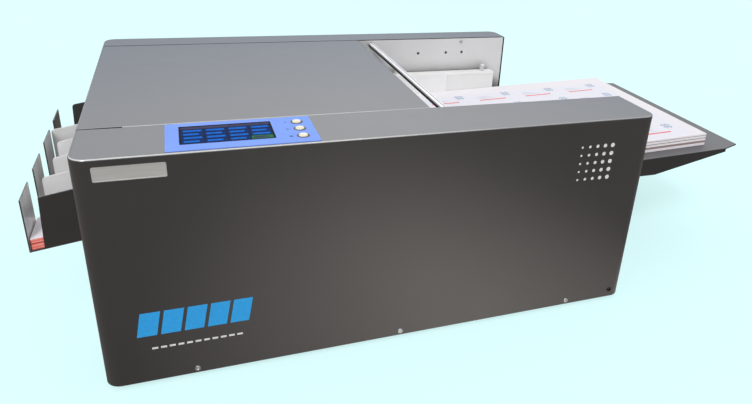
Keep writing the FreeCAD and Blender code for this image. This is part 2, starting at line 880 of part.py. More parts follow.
def upper_roller(x, feeds):
    """Roller over the path, geared to the one below. Where feeds is true it also drives the feed belt."""
    drive_end = feed_pulley_span()[0] if feeds else gear_span()[0]
    core = shaft(x, upper_z, drive_end)
    core = core.fuse(gear(x, upper_z, (upper_z - lower_z) / 2, gear_teeth, gear_span(), True))
    if feeds:
        core = core.fuse(rod_y(x, upper_z, pulley_radius, feed_pulley_span()))
    return Part.makeCompound([core, roller_sleeve(x, upper_z, roller_radius, roller_length)])


def feed_roller():
    """Roller that draws the top sheet off the stack."""
    core = shaft(feed_x, feed_z(), feed_pulley_span()[0])
    core = core.fuse(rod_y(feed_x, feed_z(), pulley_radius, feed_pulley_span()))
    pieces = [core]
    for i in (-1, 0, 1):
        middle = channel_mid + i * feed_sleeve_pitch
        pieces.append(roller_sleeve(feed_x, feed_z(), feed_radius, feed_sleeve, middle))
    return Part.makeCompound(pieces)


def slitter_lower_shaft():
    core = shaft(slitter_x, slitter_lower_z, pulley_span()[0])
    core = core.fuse(rod_y(slitter_x, slitter_lower_z, slitter_pulley_radius, pulley_span()))
    return core.fuse(gear(slitter_x, slitter_lower_z, knife_centres / 2, gear_teeth, gear_span(), False))


def slitter_upper_shaft():
    core = shaft(slitter_x, slitter_upper_z, gear_span()[0])
    return core.fuse(gear(slitter_x, slitter_upper_z, knife_centres / 2, gear_teeth, gear_span(), True))


def lane_starts():
    """Front edge of each lane of cards, across the sheet."""
    return [lane_front + i * lane_pitch for i in range(lane_count)]


def knife_disc(z, y):
    return rod_y(slitter_x, z, knife_radius, y).cut(rod_y(slitter_x, z, shaft_radius, y))


def slitter_lower_knives():
    """One ring under each waste strip, as wide as the strip, and one beyond the last lane."""
    rings = []
    for i in range(lane_count + 1):
        end = lane_front + i * lane_pitch
        rings.append(knife_disc(slitter_lower_z, (end - gutter, end)))
    return Part.makeCompound(rings)


def slitter_upper_knives():
    """Two thin discs over each lane, close to the rings at its edges."""
    discs = []
    for start in lane_starts():
        near = start + blade_gap
        far = start + card_width - blade_gap
        discs.append(knife_disc(slitter_upper_z, (near, near + knife_sheet)))
        discs.append(knife_disc(slitter_upper_z, (far - knife_sheet, far)))
    return Part.makeCompound(discs)


def deck_room(radius, centre_z, drop):
    """Half the deck's gap at a roller or knife: its half width at the deck's underside, and a clearance."""
    above = path_z - drop - deck_sheet - centre_z
    return math.sqrt(radius ** 2 - above ** 2) + deck_clearance


def deck_places():
    """Ends of each plate that carries the sheets between two stations, and its drop below the path."""
    nip_room = deck_room(roller_radius, lower_z, deck_drop)
    knife_room = deck_room(knife_radius, slitter_lower_z, deck_drop)
    return [
        (pad_deck_left(), table_left - free_gap, pad_deck_drop()),
        (slitter_x + knife_room, intake_x - nip_room, deck_drop),
        (transport_x + nip_room, slitter_x - knife_room, deck_drop),
        (blade_x + bed_knife_sheet, transport_x - nip_room, deck_drop),
        (exit_x + nip_room, beam_right - free_gap, deck_drop),
        (tray_inner + deck_clearance, exit_x - nip_room, deck_drop),
    ]


def deck_tab(left, right, drop, y):
    """Tab of a deck, or the slot for it, between two values of Y."""
    top = path_z - drop
    return box((left + tab_inset, right - tab_inset), y, (top - deck_sheet, top))


def paper_decks():
    """Plates between the stations, with holes round the posts that the blade slides on."""
    hole = rod_z(post_x, channel_front + post_inset, post_radius + free_gap, (post_bottom, post_top))
    decks = []
    for left, right, drop in deck_places():
        top = path_z - drop
        plate = box((left, right), (channel_front, channel_rear), (top - deck_sheet, top))
        tab = deck_tab(left, right, drop, (front_outer, channel_front))
        plate = plate.fuse(tab).fuse(mirror_y(tab)).removeSplitter()
        decks.append(plate.cut(hole).cut(mirror_y(hole)))
    return Part.makeCompound(decks)


def pad_deck_drop():
    """The deck under the retard pad lies lower by the pad's height."""
    return deck_drop + pad_height


def pad_deck_left():
    return intake_x + deck_room(roller_radius, lower_z, pad_deck_drop())


def retard_pad():
    """Rubber pad that holds back all but the top sheet."""
    left = pad_deck_left() + deck_clearance
    top = path_z - deck_drop
    width = (channel_mid - pad_width / 2, channel_mid + pad_width / 2)
    return box((left, left + pad_length), width, (top - pad_height, top))


# ---------------------------------------------------------------- cross-cut blade
def bed_knife():
    """Fixed lower knife, from side plate to side plate."""
    top = path_z - deck_drop
    thickness = (blade_x, blade_x + bed_knife_sheet)
    return box(thickness, (channel_front, channel_rear), (top - bed_knife_height, top))


def knife_frame():
    """Two cross bars and two guide posts that the blade beam slides on."""
    reach = (channel_front, channel_rear)
    frame = box((beam_left, blade_x), reach, (post_bottom, post_bottom + frame_bar_height))
    frame = frame.fuse(box((beam_left, beam_right), reach, (post_top - frame_bar_height, post_top)))
    post = rod_z(post_x, channel_front + post_inset, post_radius, (post_bottom, post_top))
    frame = frame.fuse(post).fuse(mirror_y(post))
    ledge_top = path_z - deck_drop - bed_knife_height + bed_seat
    ledge = box((blade_x - ledge_width, blade_x), reach, (post_bottom, ledge_top))
    return frame.fuse(ledge).removeSplitter()


def blade_beam():
    """Sliding beam that carries the blade, with a rack at each end."""
    low = path_z + beam_lift
    high = low + beam_height
    ends = (channel_front + beam_clearance, channel_rear - beam_clearance)
    beam = box((beam_left, beam_right), ends, (low, high))
    through = (low - past, high + past)
    bore = rod_z(post_x, channel_front + post_inset, post_radius + running_gap, through)
    beam = beam.cut(bore).cut(mirror_y(bore))
    rack = rack_bar()
    return beam.fuse(rack).fuse(mirror_y(rack)).removeSplitter()


def rack_bar():
    """Toothed bar on the beam's left face, with a gap level with the pinion."""
    pitch = math.pi * pinion_module
    root = rack_pitch_x + tooth_root * pinion_module
    tip = rack_pitch_x - tooth_tip * pinion_module
    half = rack_teeth * pitch / 2
    points = [(beam_left, pinion_z - half), (root, pinion_z - half)]
    first = -(rack_teeth - 1) // 2
    for i in range(first, first + rack_teeth - 1):
        middle = pinion_z + (i + 0.5) * pitch
        for x, part in tooth_corners(root, tip):
            points.append((x, middle + part * pitch))
    points += [(root, pinion_z + half), (beam_left, pinion_z + half)]
    return plate_y(points, pinion_reach())


def pinion_reach():
    return (channel_front + pinion_inset, channel_front + pinion_inset + pinion_width)


def pinion_shaft():
    """Cross shaft that moves both ends of the blade beam together, driven at its rear end."""
    core = rod_y(pinion_x, pinion_z, shaft_radius, (channel_front + free_gap, channel_rear - free_gap))
    gearbox_mid = (channel_rear + bearing_width + body_depth - cover_sheet) / 2
    core = core.fuse(rod_y(pinion_x, pinion_z, journal_radius, (channel_front - bearing_width, gearbox_mid)))
    pinion = gear(pinion_x, pinion_z, pinion_radius, pinion_teeth, pinion_reach(), False)
    return core.fuse(pinion).fuse(mirror_y(pinion))


def cutting_blade():
    """Straight blade bolted to the beam, with a bevelled lower edge."""
    low = path_z + blade_lift
    high = low + blade_height
    left = beam_right
    right = beam_right + blade_sheet
    outline = [(right, low), (right, high), (left, high), (left, low + blade_sheet)]
    return plate_y(outline, (stack_front_y - blade_overhang, stack_rear_y + blade_overhang))


def blade_motor():
    """Worm gear motor behind the rear side plate, on four spacers."""
    near = channel_rear + bearing_width + free_gap
    far = body_depth - cover_sheet - gearbox_gap
    box_x = (pinion_x - gearbox_length / 2, pinion_x + gearbox_length / 2)
    box_z = (pinion_z - gearbox_height / 2, pinion_z + gearbox_height / 2)
    body = box(box_x, (near, far), box_z)
    body = body.cut(rod_y(pinion_x, pinion_z, journal_radius + running_gap, (near - past, far + past)))
    radius = (far - near) / 2 - motor_can_margin
    start = Vector(box_x[1], (near + far) / 2, box_z[0] + radius)
    body = body.fuse(Part.makeCylinder(radius, motor_can_length, start, Vector(1, 0, 0)))
    for x in (box_x[0] + spacer_inset, box_x[1] - spacer_inset):
        for z in (box_z[0] + spacer_inset, box_z[1] - spacer_inset):
            body = body.fuse(rod_y(x, z, spacer_radius, (rear_outer, near)))
    return body


# ---------------------------------------------------------------- drive
def belt_outline(wheels, extra):
    """Closed line round wheels (x, z, radius) given anticlockwise, at a distance extra outside them."""
    count = len(wheels)
    turns = []
    for i in range(count):
        x0, z0, r0 = wheels[i]
        x1, z1, r1 = wheels[(i + 1) % count]
        span = math.hypot(x1 - x0, z1 - z0)
        heading = math.atan2(z1 - z0, x1 - x0)
        turns.append(heading - math.acos((r0 - r1) / span))
    edges = []
    for i in range(count):
        x, z, radius = wheels[i]
        start = turns[i - 1]
        end = turns[i]
        while end < start:
            end += 2 * math.pi
        edges.append(arc_about(x, z, radius + extra, start, end))
    lines = []
    for i in range(count):
        here = edges[i].Vertexes[-1].Point
        there = edges[(i + 1) % count].Vertexes[0].Point
        lines.append(Part.makeLine(here, there))
    loop = []
    for arc, line in zip(edges, lines):
        loop += [arc, line]
    return Part.Wire(loop)


def belt(wheels, y):
    """Flat belt round the wheels."""
    outer = Part.Face(belt_outline(wheels, belt_gap + belt_sheet))
    inner = Part.Face(belt_outline(wheels, belt_gap))
    band = outer.cut(inner).extrude(Vector(0, y[1] - y[0], 0))
    return band.translated(Vector(0, y[0], 0))


def drive_belt():
    wheels = [
        (exit_x, lower_z, pulley_radius),
        (motor_x, motor_z, motor_pulley_radius),
        (intake_x, lower_z, pulley_radius),
    ]
    return belt(wheels, pulley_span())


def feed_belt():
    wheels = [(intake_x, upper_z, pulley_radius), (feed_x, feed_z(), pulley_radius)]
    return belt(wheels, feed_pulley_span())


def drive_motor():
    """Motor on the inside of the front side plate: a housing round its rotor, closed by an end cap."""
    half = motor_size / 2
    x = (motor_x - half, motor_x + half)
    z = (motor_z - half, motor_z + half)
    end = channel_front + motor_length
    cap_face = end - motor_cap
    bore_span = (channel_front - past, end - motor_cap_wall)
    bore = rod_y(motor_x, motor_z, motor_shaft_radius + running_gap, bore_span)
    room = rod_y(motor_x, motor_z, rotor_radius + free_gap, (channel_front + motor_wall, cap_face))
    housing = box(x, (channel_front, cap_face), z).cut(room).cut(bore)
    return Part.makeCompound([housing, box(x, (cap_face, end), z).cut(bore)])


def motor_pulley():
    """Pulley, shaft and rotor of the drive motor, all on one axis."""
    end = channel_front + motor_length
    core = rod_y(motor_x, motor_z, motor_shaft_radius, (pulley_span()[0], end - motor_cap_wall - free_gap))
    rotor_span = (channel_front + motor_wall + free_gap, end - motor_cap - free_gap)
    core = core.fuse(rod_y(motor_x, motor_z, rotor_radius, rotor_span))
    return core.fuse(rod_y(motor_x, motor_z, motor_pulley_radius, pulley_span()))


# ---------------------------------------------------------------- card tray, dividers and waste bin
def tray_floor(x):
    """Upper surface of the tray's floor."""
    return tray_floor_z + x * tray_fall + tray_sheet


def tray_wall(gap, rear_x, reach, rake):
    """Outline of a tray wall or divider whose foot is gap above the floor's underside."""
    left = -reach
    foot = left - rake
    low = tray_floor_z + gap
    return [
        (foot, low + foot * tray_fall),
        (rear_x, low + rear_x * tray_fall),
        (rear_x, tray_wall_top + rear_x * tray_wall_fall),
        (left, tray_wall_top + left * tray_wall_fall),
    ]


def round_outer_corner(plate, reach, radius):
    """Rounds the upper corner at the outer end of an upright plate."""
    across = []
    for edge in plate.Edges:
        place = edge.BoundBox
        if abs(place.XMin + reach) < tolerance and place.XLength < tolerance and place.YLength > tolerance:
            across.append(edge)
    corner = max(across, key=lambda edge: edge.BoundBox.ZMax + edge.BoundBox.ZMin)
    return plate.makeFillet(radius, [corner])


def card_tray():
    """Sheet metal tray: sloping floor whose outer end is cut into fingers bent up as flaps, and two walls."""
    outer = -tray_reach
    under_out = tray_floor_z + outer * tray_fall
    under_in = tray_floor_z + tray_inner * tray_fall
    floor = [
        (outer, under_out),
        (tray_inner, under_in),
        (tray_inner, under_in + tray_sheet),
        (outer, under_out + tray_sheet),
    ]
    tray = plate_y(floor, (tray_front, tray_rear))
    for i in range(flap_count):
        start = tray_front + i * flap_pitch
        end = start + flap_width
        tray = tray.fuse(box((outer, outer + tray_sheet), (start, end), (under_out, flap_top)))
        next_start = start + flap_pitch if i < flap_count - 1 else tray_rear + past
        gap = box((outer - past, outer + finger_depth), (end, next_start), (0, flap_top + past))
        tray = tray.cut(gap)
    outline = tray_wall(0, tray_inner, tray_wall_reach, tray_wall_rake)
    tray = tray.fuse(plate_y(outline, (tray_front, tray_front + tray_sheet)))
    rear_wall = plate_y(outline, (tray_rear - tray_sheet, tray_rear))
    tray = tray.fuse(round_outer_corner(rear_wall, tray_wall_reach, tray_wall_corner))
    hook_x = (cover_sheet - tray_sheet, cover_sheet)
    hook_bottom = tray_floor_z + hook_lift
    for y in ((tray_front - hook_width, tray_front), (tray_rear, tray_rear + hook_width)):
        tray = tray.fuse(box(hook_x, y, (hook_bottom, hook_bottom + hook_height)))
    return tray.removeSplitter()


def lane_divider(index):
    """Plate with a narrow foot, free to slide across the tray. It rests in line with a waste strip."""
    y = lane_front + (index + 1) * lane_pitch - (gutter + divider_sheet) / 2
    lift = tray_sheet / math.cos(math.radians(tray_slope)) + free_gap
    rear_x = tray_inner - free_gap
    reach = divider_reach[index]
    plate = plate_y(tray_wall(lift, rear_x, reach, 0), (y, y + divider_sheet))
    plate = round_outer_corner(plate, reach, divider_corner)
    left = -reach
    low = tray_floor_z + lift
    foot = [
        (left, low + left * tray_fall),
        (rear_x, low + rear_x * tray_fall),
        (rear_x, low + rear_x * tray_fall + divider_sheet),
        (left, low + left * tray_fall + divider_sheet),
    ]
    return plate.fuse(plate_y(foot, (y, y + divider_sheet + divider_foot))).removeSplitter()


def card_stack():
    """Cut cards in the front lane, lying on the floor against the flap."""
    left = -tray_reach + tray_sheet + card_clearance
    right = left + card_length * math.cos(math.radians(tray_slope))
    outline = [
        (left, tray_floor(left)),
        (right, tray_floor(right)),
        (right, tray_floor(right) + card_stack_height),
        (left, tray_floor(left) + card_stack_height),
    ]
    return plate_y(outline, (lane_front, lane_front + card_width))


def outlet_panel():
    """Left end wall between the side plates, with openings for the tray and the waste bin."""
    panel_x = (cover_sheet, cover_sheet + outlet_sheet)
    panel = box(panel_x, (channel_front, channel_rear), (base_top, outlet_top))
    through = (panel_x[0] - past, panel_x[1] + past)
    tray_y = (tray_front - outlet_margin, tray_rear + outlet_margin)
    panel = panel.cut(box(through, tray_y, (tray_floor_z - outlet_margin, tray_wall_top + outlet_margin)))
    bin_y = (bin_front - bin_gap, bin_rear + bin_gap)
    return panel.cut(box(through, bin_y, (base_top - past, bin_top + bin_gap)))


def waste_bin():
    """Open box for the cut strips. It slides out under the card tray."""
    shell = box((bin_left, bin_right), (bin_front, bin_rear), (bin_bottom, bin_top))
    inside = box(
        (bin_left + bin_wall, bin_right - bin_wall),
        (bin_front + bin_wall, bin_rear - bin_wall),
        (bin_bottom + bin_wall, bin_top + past),
    )
    middle = (bin_front + bin_rear) / 2
    grip_top = bin_top - grip_drop
    grip = box(
        (bin_left - past, bin_left + bin_wall + past),
        (middle - grip_length / 2, middle + grip_length / 2),
        (grip_top - grip_height, grip_top),
    )
    return shell.cut(inside).cut(grip)


# ---------------------------------------------------------------- power
def power_supply():
    length, width, height = supply_size
    right = body_length - supply_end
    rear = channel_rear - supply_rear_room
    return box((right - length, right), (rear - width, rear), (base_top, base_top + height))


def power_inlet():
    """Mains inlet and switch housing in the rear cover, with a flange outside and blades in its socket."""
    outer = body_depth + module_flange_sheet
    module = module_block(0, (body_depth - module_depth, body_depth))
    module = module.fuse(module_block(module_flange, (body_depth, outer)))
    floor = outer - socket_depth
    module = module.cut(centred_block(inlet_x, inlet_z, socket_length, socket_height, (floor, outer + past)))
    cavity = (body_depth - switch_cavity, outer + past)
    module = module.cut(centred_block(switch_x, inlet_z, switch_length, switch_height, cavity))
    tip = outer - socket_blade_drop
    for x, z in socket_blades:
        blade = centred_block(
            inlet_x + x, inlet_z + z, socket_blade_width, socket_blade_height, (floor - past, tip)
        )
        module = module.fuse(blade)
    return module.fuse(switch_axle(switch_axle_radius, switch_length / 2 + past))


def switch_axle(radius, half):
    """Round bar along X on the rocker's pivot."""
    start = Vector(switch_x - half, body_depth - switch_axle_depth, inlet_z)
    return Part.makeCylinder(radius, 2 * half, start, Vector(1, 0, 0))


def power_switch():
    """Rocker with a shallow V in its face, tilted to rest with its upper end proud."""
    half_width = switch_length / 2 - switch_clearance
    half_height = switch_height / 2 - switch_clearance
    face = body_depth
    back = body_depth - switch_depth
    section = [
        (back, -half_height),
        (face, -half_height),
        (face - switch_dip, 0),
        (face, half_height),
        (back, half_height),
    ]
    corners = [Vector(switch_x - half_width, y, inlet_z + z) for y, z in section + section[:1]]
    rocker = Part.Face(Part.makePolygon(corners)).extrude(Vector(2 * half_width, 0, 0))
    rocker = rocker.cut(switch_axle(switch_axle_radius + running_gap, half_width + past))
    rocker.rotate(Vector(switch_x, body_depth - switch_axle_depth, inlet_z), Vector(1, 0, 0), -switch_tilt)
    return rocker


nodes = {
    "front_cover": front_cover(),
    "rear_cover": rear_cover(),
    "front_side_plate": front_side_plate(),
    "rear_side_plate": mirror_y(side_plate()),
    "base_plate": base_plate(),
    "rubber_feet": rubber_feet(),
    "outlet_panel": outlet_panel(),
    "cross_bar": cross_bar(),
    "tie_rods": tie_rods(),
    "cover_screws": cover_screws(),
    "name_plate": name_plate(),
    "top_lid": top_lid(),
    "lid_pivot_pins": lid_pivot_pins(),
    "panel_overlay": panel_overlay(),
    "display": display(),
    "panel_board": panel_board(),
    "feed_table": feed_table(),
    "sheet_stack": sheet_stack(),
    "front_guide": front_guide(),
    "rear_guide": rear_guide(),
    "guide_pins": guide_pins(),
    "inner_guide_knob": guide_knob(guide_pin_x[0]),
    "outer_guide_knob": guide_knob(guide_pin_x[1]),
    "shaft_bearings": shaft_bearings(),
    "paper_decks": paper_decks(),
    "retard_pad": retard_pad(),
    "feed_roller": feed_roller(),
    "intake_lower_roller": lower_roller(intake_x),
    "intake_upper_roller": upper_roller(intake_x, True),
    "slitter_lower_shaft": slitter_lower_shaft(),
    "slitter_upper_shaft": slitter_upper_shaft(),
    "slitter_lower_knives": slitter_lower_knives(),
    "slitter_upper_knives": slitter_upper_knives(),
    "transport_lower_roller": lower_roller(transport_x),
    "transport_upper_roller": upper_roller(transport_x, False),
    "exit_lower_roller": lower_roller(exit_x),
    "exit_upper_roller": upper_roller(exit_x, False),
    "bed_knife": bed_knife(),
    "knife_frame": knife_frame(),
    "blade_beam": blade_beam(),
    "cutting_blade": cutting_blade(),
    "pinion_shaft": pinion_shaft(),
    "blade_motor": blade_motor(),
    "drive_belt": drive_belt(),
    "feed_belt": feed_belt(),
    "drive_motor": drive_motor(),
    "motor_pulley": motor_pulley(),
    "card_tray": card_tray(),
    "card_stack": card_stack(),
    "waste_bin": waste_bin(),
    "power_supply": power_supply(),
    "power_inlet": power_inlet(),
    "power_switch": power_switch(),
}
for place, y in zip(("front", "middle", "rear"), button_places()):
    nodes[place + "_button"] = button(y)
for lane in range(lane_count - 1):
    nodes["lane_divider_" + str(lane + 1)] = lane_divider(lane)

os.makedirs("parts", exist_ok=True)
for node, shape in nodes.items():
    save(node, shape)
    print(node, len(shape.Solids), "solids", shape.isValid(), round(shape.Volume / 1000, 2), "cm3")
print(len(nodes), "nodes")
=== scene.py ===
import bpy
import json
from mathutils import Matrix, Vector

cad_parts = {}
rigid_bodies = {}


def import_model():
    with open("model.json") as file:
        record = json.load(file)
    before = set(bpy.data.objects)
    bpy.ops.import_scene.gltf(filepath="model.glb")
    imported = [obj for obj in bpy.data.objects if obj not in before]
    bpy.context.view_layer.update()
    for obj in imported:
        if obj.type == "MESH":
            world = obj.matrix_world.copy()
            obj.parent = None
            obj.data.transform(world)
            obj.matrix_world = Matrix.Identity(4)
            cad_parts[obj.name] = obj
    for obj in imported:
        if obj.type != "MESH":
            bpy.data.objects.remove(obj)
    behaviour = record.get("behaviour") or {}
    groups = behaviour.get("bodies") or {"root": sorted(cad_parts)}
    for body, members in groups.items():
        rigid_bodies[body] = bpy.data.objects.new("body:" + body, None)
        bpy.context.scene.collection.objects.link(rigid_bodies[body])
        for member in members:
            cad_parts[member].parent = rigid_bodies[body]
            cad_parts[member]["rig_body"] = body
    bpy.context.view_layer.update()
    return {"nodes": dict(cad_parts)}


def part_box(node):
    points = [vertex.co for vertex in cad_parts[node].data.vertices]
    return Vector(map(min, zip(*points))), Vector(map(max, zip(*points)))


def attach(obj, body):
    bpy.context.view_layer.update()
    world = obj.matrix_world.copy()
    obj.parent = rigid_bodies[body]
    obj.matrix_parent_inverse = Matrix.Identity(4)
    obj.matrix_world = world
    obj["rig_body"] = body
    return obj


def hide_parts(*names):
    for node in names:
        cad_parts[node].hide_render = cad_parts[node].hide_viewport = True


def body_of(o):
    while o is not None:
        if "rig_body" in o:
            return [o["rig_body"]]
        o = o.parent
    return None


bl_info = {
    "name": "Business card cutter",
    "version": (1, 0, 0),
    "blender": (4, 5, 0),
    "location": "3D View > Sidebar > Card Cutter",
    "description": "Finishes and fine pieces for a motor-driven business card cutter",
    "category": "Object",
}

import json
import math
import random

import bmesh
import bpy
from bpy.props import FloatProperty, FloatVectorProperty, IntProperty, PointerProperty
from bpy.types import Operator
from mathutils import Euler, Matrix, Vector

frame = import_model()

MM = 0.001
QUARTER = math.pi / 2
MACHINE = "machine"

# --- places read from the frame
COVER_LEFT, FRONT_FACE, COVER_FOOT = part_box("front_cover")[0]
COVER_RIGHT, CHANNEL_FRONT, COVER_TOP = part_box("front_cover")[1]
CHANNEL_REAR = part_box("rear_cover")[0].y
REAR_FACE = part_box("rear_cover")[1].y
CHANNEL_MIDDLE = (CHANNEL_FRONT + CHANNEL_REAR) / 2

# --- what the frame doesn't tell: slopes, and how the cards lie on a sheet
TABLE_SLOPE = math.radians(2.0)
TRAY_SLOPE = math.radians(8.4)
LANE_FIRST = 4.35 * MM   # first card to the sheet's front edge
LANE_PITCH = 57.0 * MM
LANE_COUNT = 5
CARD_DEPTH = 54.0 * MM


def middle(node):
    """Centre of a node's box."""
    start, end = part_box(node)
    return (start + end) / 2


def lying(node, slope):
    """How a stack lies: its place, with x up the slope, and its length, width and depth square to the sheets."""
    start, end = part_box(node)
    run = (end.x - start.x) / math.cos(slope)
    deep = (end.z - start.z - run * math.sin(slope)) * math.cos(slope)
    return placed(*start, (0, -slope, 0)), run, end.y - start.y, deep


# --- sizes and colours that a user may change
def colour(name, description, default):
    return FloatVectorProperty(
        name=name, description=description, default=default, subtype="COLOR", min=0.0, max=1.0
    )


def length(name, description, millimetres, **limits):
    return FloatProperty(
        name=name, description=description, default=millimetres * MM, unit="LENGTH", precision=5, **limits
    )


class CutterColours(bpy.types.PropertyGroup):
    """Colours of the paints, plastics, prints and papers."""

    charcoal: colour("Charcoal", "Powder coat of the covers and the lid", (0.022, 0.0202, 0.0193))
    # Painted highlight: lighter colour laid on the upper bends of the powder coat
    bend_highlight_grey: colour("Edge grey", "Powder coat where the bends have rubbed thin", (0.55, 0.55, 0.55))
    plate_grey: colour("Plate grey", "Paint of the side plates and decks", (0.64, 0.64, 0.64))
    satin_black: colour("Satin black", "Paint of the feed table and the card tray", (0.022, 0.020, 0.019))
    guide_white: colour("Guide white", "Plastic of the side guides", (0.82, 0.82, 0.81))
    divider_grey: colour("Divider grey", "Plastic of the lane dividers and the bin", (0.96, 0.945, 0.95))
    film_blue: colour("Film blue", "Printed film of the control panel", (0.18, 0.33, 0.93))
    screen_navy: colour("Screen navy", "Display between its fields", (0.004, 0.006, 0.016))
    field_blue: colour("Field blue", "Fields on the display", (0.002, 0.018, 0.085))
    field_bright: colour("Bright bars", "Lit bars on the display", (0.003, 0.10, 0.46))
    field_green: colour("Field green", "Start field on the display", (0.010, 0.11, 0.035))
    print_blue: colour("Print blue", "Blue bars on the front face", (0.010, 0.30, 0.68))
    print_white: colour("Print white", "White marks on the front face", (0.62, 0.62, 0.61))
    key_cream: colour("Key cream", "Caps of the three buttons", (0.86, 0.80, 0.62))
    paper: colour("Paper", "Sheets and cards", (0.86, 0.84, 0.88))
    card_red: colour("Card red", "Printed edges of the cut cards", (0.85, 0.19, 0.14))
    floor: colour("Floor", "Pale floor and surroundings", (0.725, 1.0, 1.0))


class CutterSizes(bpy.types.PropertyGroup):
    """Sizes of the fine pieces."""

    edge_ease: length("Edge ease", "Rounding of sheet edges and moulded edges", 0.35, min=0.0)
    sheet: length("Sheet thickness", "One printed sheet of the stack", 0.3, min=0.1 * MM)
    card: length("Card thickness", "One cut card", 0.35, min=0.1 * MM)
    print_proud: length("Print thickness", "How far printed marks stand off their surface", 0.03, min=0.0)
    screw_socket: length("Screw socket", "Hexagon socket of the cover screws, across its corners", 2.9)
    knurl_count: IntProperty(name="Knurls", description="Ribs round a thumb screw", default=24, min=6)
    tyre_ribs: IntProperty(name="Tyre ribs", description="Ribs round a feed tyre", default=40, min=8)
    dot_rows: IntProperty(name="Dot rows", description="Rows and columns of the dot pattern", default=5, min=1)


class CutterStage(bpy.types.PropertyGroup):
    """Lamps and camera."""

    sky: FloatProperty(name="Sky", description="Strength of the even light from all round", default=0.62)
    key: FloatProperty(name="Key lamp", description="Strength of the lamp in front, to the left", default=1.6)
    top: FloatProperty(name="Top lamp", description="Strength of the wide lamp overhead", default=0.4)
    lens: FloatProperty(name="Lens", description="Focal length", default=31.065, unit="CAMERA")


class CutterSettings(bpy.types.PropertyGroup):
    """All settings of the card cutter."""

    colours: PointerProperty(type=CutterColours)
    sizes: PointerProperty(type=CutterSizes)
    stage: PointerProperty(type=CutterStage)


def colours():
    return bpy.context.scene.card_cutter.colours


def sizes():
    return bpy.context.scene.card_cutter.sizes


# --- finishes
class Tree:
    """A node tree, and short ways to add to it."""

    place = None

    def __init__(self, tree):
        self.tree = tree

    def feed(self, socket, value):
        """Gives an input a number, a colour or another node's output."""
        if isinstance(value, bpy.types.NodeSocket):
            self.tree.links.new(value, socket)
        else:
            socket.default_value = value

    def node(self, kind, inputs=None, **settings):
        """Adds a node with its settings and inputs."""
        made = self.tree.nodes.new(kind)
        for setting, value in settings.items():
            setattr(made, setting, value)
        for socket, value in (inputs or {}).items():
            self.feed(made.inputs[socket], value)
        return made

    def spread(self, pattern, start=0.0, end=1.0, clip=(0.3, 0.7)):
        """The pattern rescaled to run from start to end."""
        limits = {"From Min": clip[0], "From Max": clip[1], "To Min": start, "To Max": end}
        return self.node("ShaderNodeMapRange", {"Value": pattern, **limits}).outputs["Result"]

    def blend(self, factor, first, second):
        """Mix of two colours."""
        mix = self.node("ShaderNodeMix", {"Factor": factor}, data_type="RGBA")
        for socket, value in ((mix.inputs[6], first), (mix.inputs[7], second)):
            if not isinstance(value, bpy.types.NodeSocket):
                value = (*value[:3], 1.0)
            self.feed(socket, value)
        return mix.outputs[2]

    def math(self, operation, first, second=0.0):
        return self.node("ShaderNodeMath", {0: first, 1: second}, operation=operation).outputs[0]

    def vector_math(self, operation, first, second):
        return self.node("ShaderNodeVectorMath", {0: first, 1: second}, operation=operation).outputs[0]

    def axis(self, name, vector=None):
        """X, Y or Z of a vector, or else of the place on the piece."""
        return self.node("ShaderNodeSeparateXYZ", {"Vector": vector or self.place}).outputs[name]


class Finish(Tree):
    """One material: a Principled surface and the patterns that vary it."""

    def __init__(self, name, **sockets):
        self.material = bpy.data.materials.new(name)
        self.material.use_nodes = True
        super().__init__(self.material.node_tree)
        self.surface = self.tree.nodes["Principled BSDF"]
        for socket, value in sockets.items():
            self.surface.inputs[socket.replace("_", " ")].default_value = value
        self.place = self.node("ShaderNodeTexCoord").outputs["Object"]
        self.normal = None

    def cloud(self, size, detail=3.0, stretch=(1.0, 1.0, 1.0)):
        """Soft irregular pattern whose patches are about size across, times stretch along each axis."""
        scale = [1 / (size * s) for s in stretch]
        scaled = self.node("ShaderNodeMapping", {"Vector": self.place, "Scale": scale})
        looks = {"Scale": 1.0, "Detail": detail, "Roughness": 0.55}
        return self.node("ShaderNodeTexNoise", {"Vector": scaled.outputs[0], **looks}).outputs["Fac"]

    def facing(self, name):
        """How far the surface looks along X, Y or Z."""
        return self.axis(name, self.node("ShaderNodeTexCoord").outputs["Normal"])

    def set(self, socket, value):
        self.feed(self.surface.inputs[socket], value)

    def tone(self):
        """What feeds the base colour so far."""
        return self.surface.inputs["Base Color"].links[0].from_socket

    def cover(self, mask, rgb):
        """Lays a colour over the base colour where the mask is 1."""
        self.set("Base Color", self.blend(mask, self.tone(), rgb))

    def relief(self, pattern, depth, strength):
        """Bump of the given depth in metres, on top of any bump before it."""
        bump = self.node("ShaderNodeBump", {"Height": pattern, "Distance": depth, "Strength": strength})
        if self.normal:
            self.feed(bump.inputs["Normal"], self.normal)
        self.normal = bump.outputs["Normal"]
        self.set("Normal", self.normal)


def shade(rgb, amount):
    """A colour made lighter or darker."""
    return tuple(min(1.0, channel * amount) for channel in rgb[:3])


def mottled(name, rgb, tones, patches, gloss, gloss_patches, grain=None, **sockets):
    """Finish whose tone and roughness wander between two values in soft patches.

    patches and gloss_patches are what cloud takes. grain is the size of its bumps, their depth in
    millimetres and their strength.
    """
    finish = Finish(name, **sockets)
    pattern = finish.spread(finish.cloud(*patches))
    finish.set("Base Color", finish.blend(pattern, shade(rgb, tones[0]), shade(rgb, tones[1])))
    finish.set("Roughness", finish.spread(finish.cloud(*gloss_patches), *gloss))
    if grain:
        size, depth, strength = grain
        finish.relief(finish.cloud(size, 2), depth * MM, strength)
    return finish


HIGHLIGHT_FADE = (-0.16, 0.04)  # along X, where the painted highlight on the bends is strongest and where it is weakest
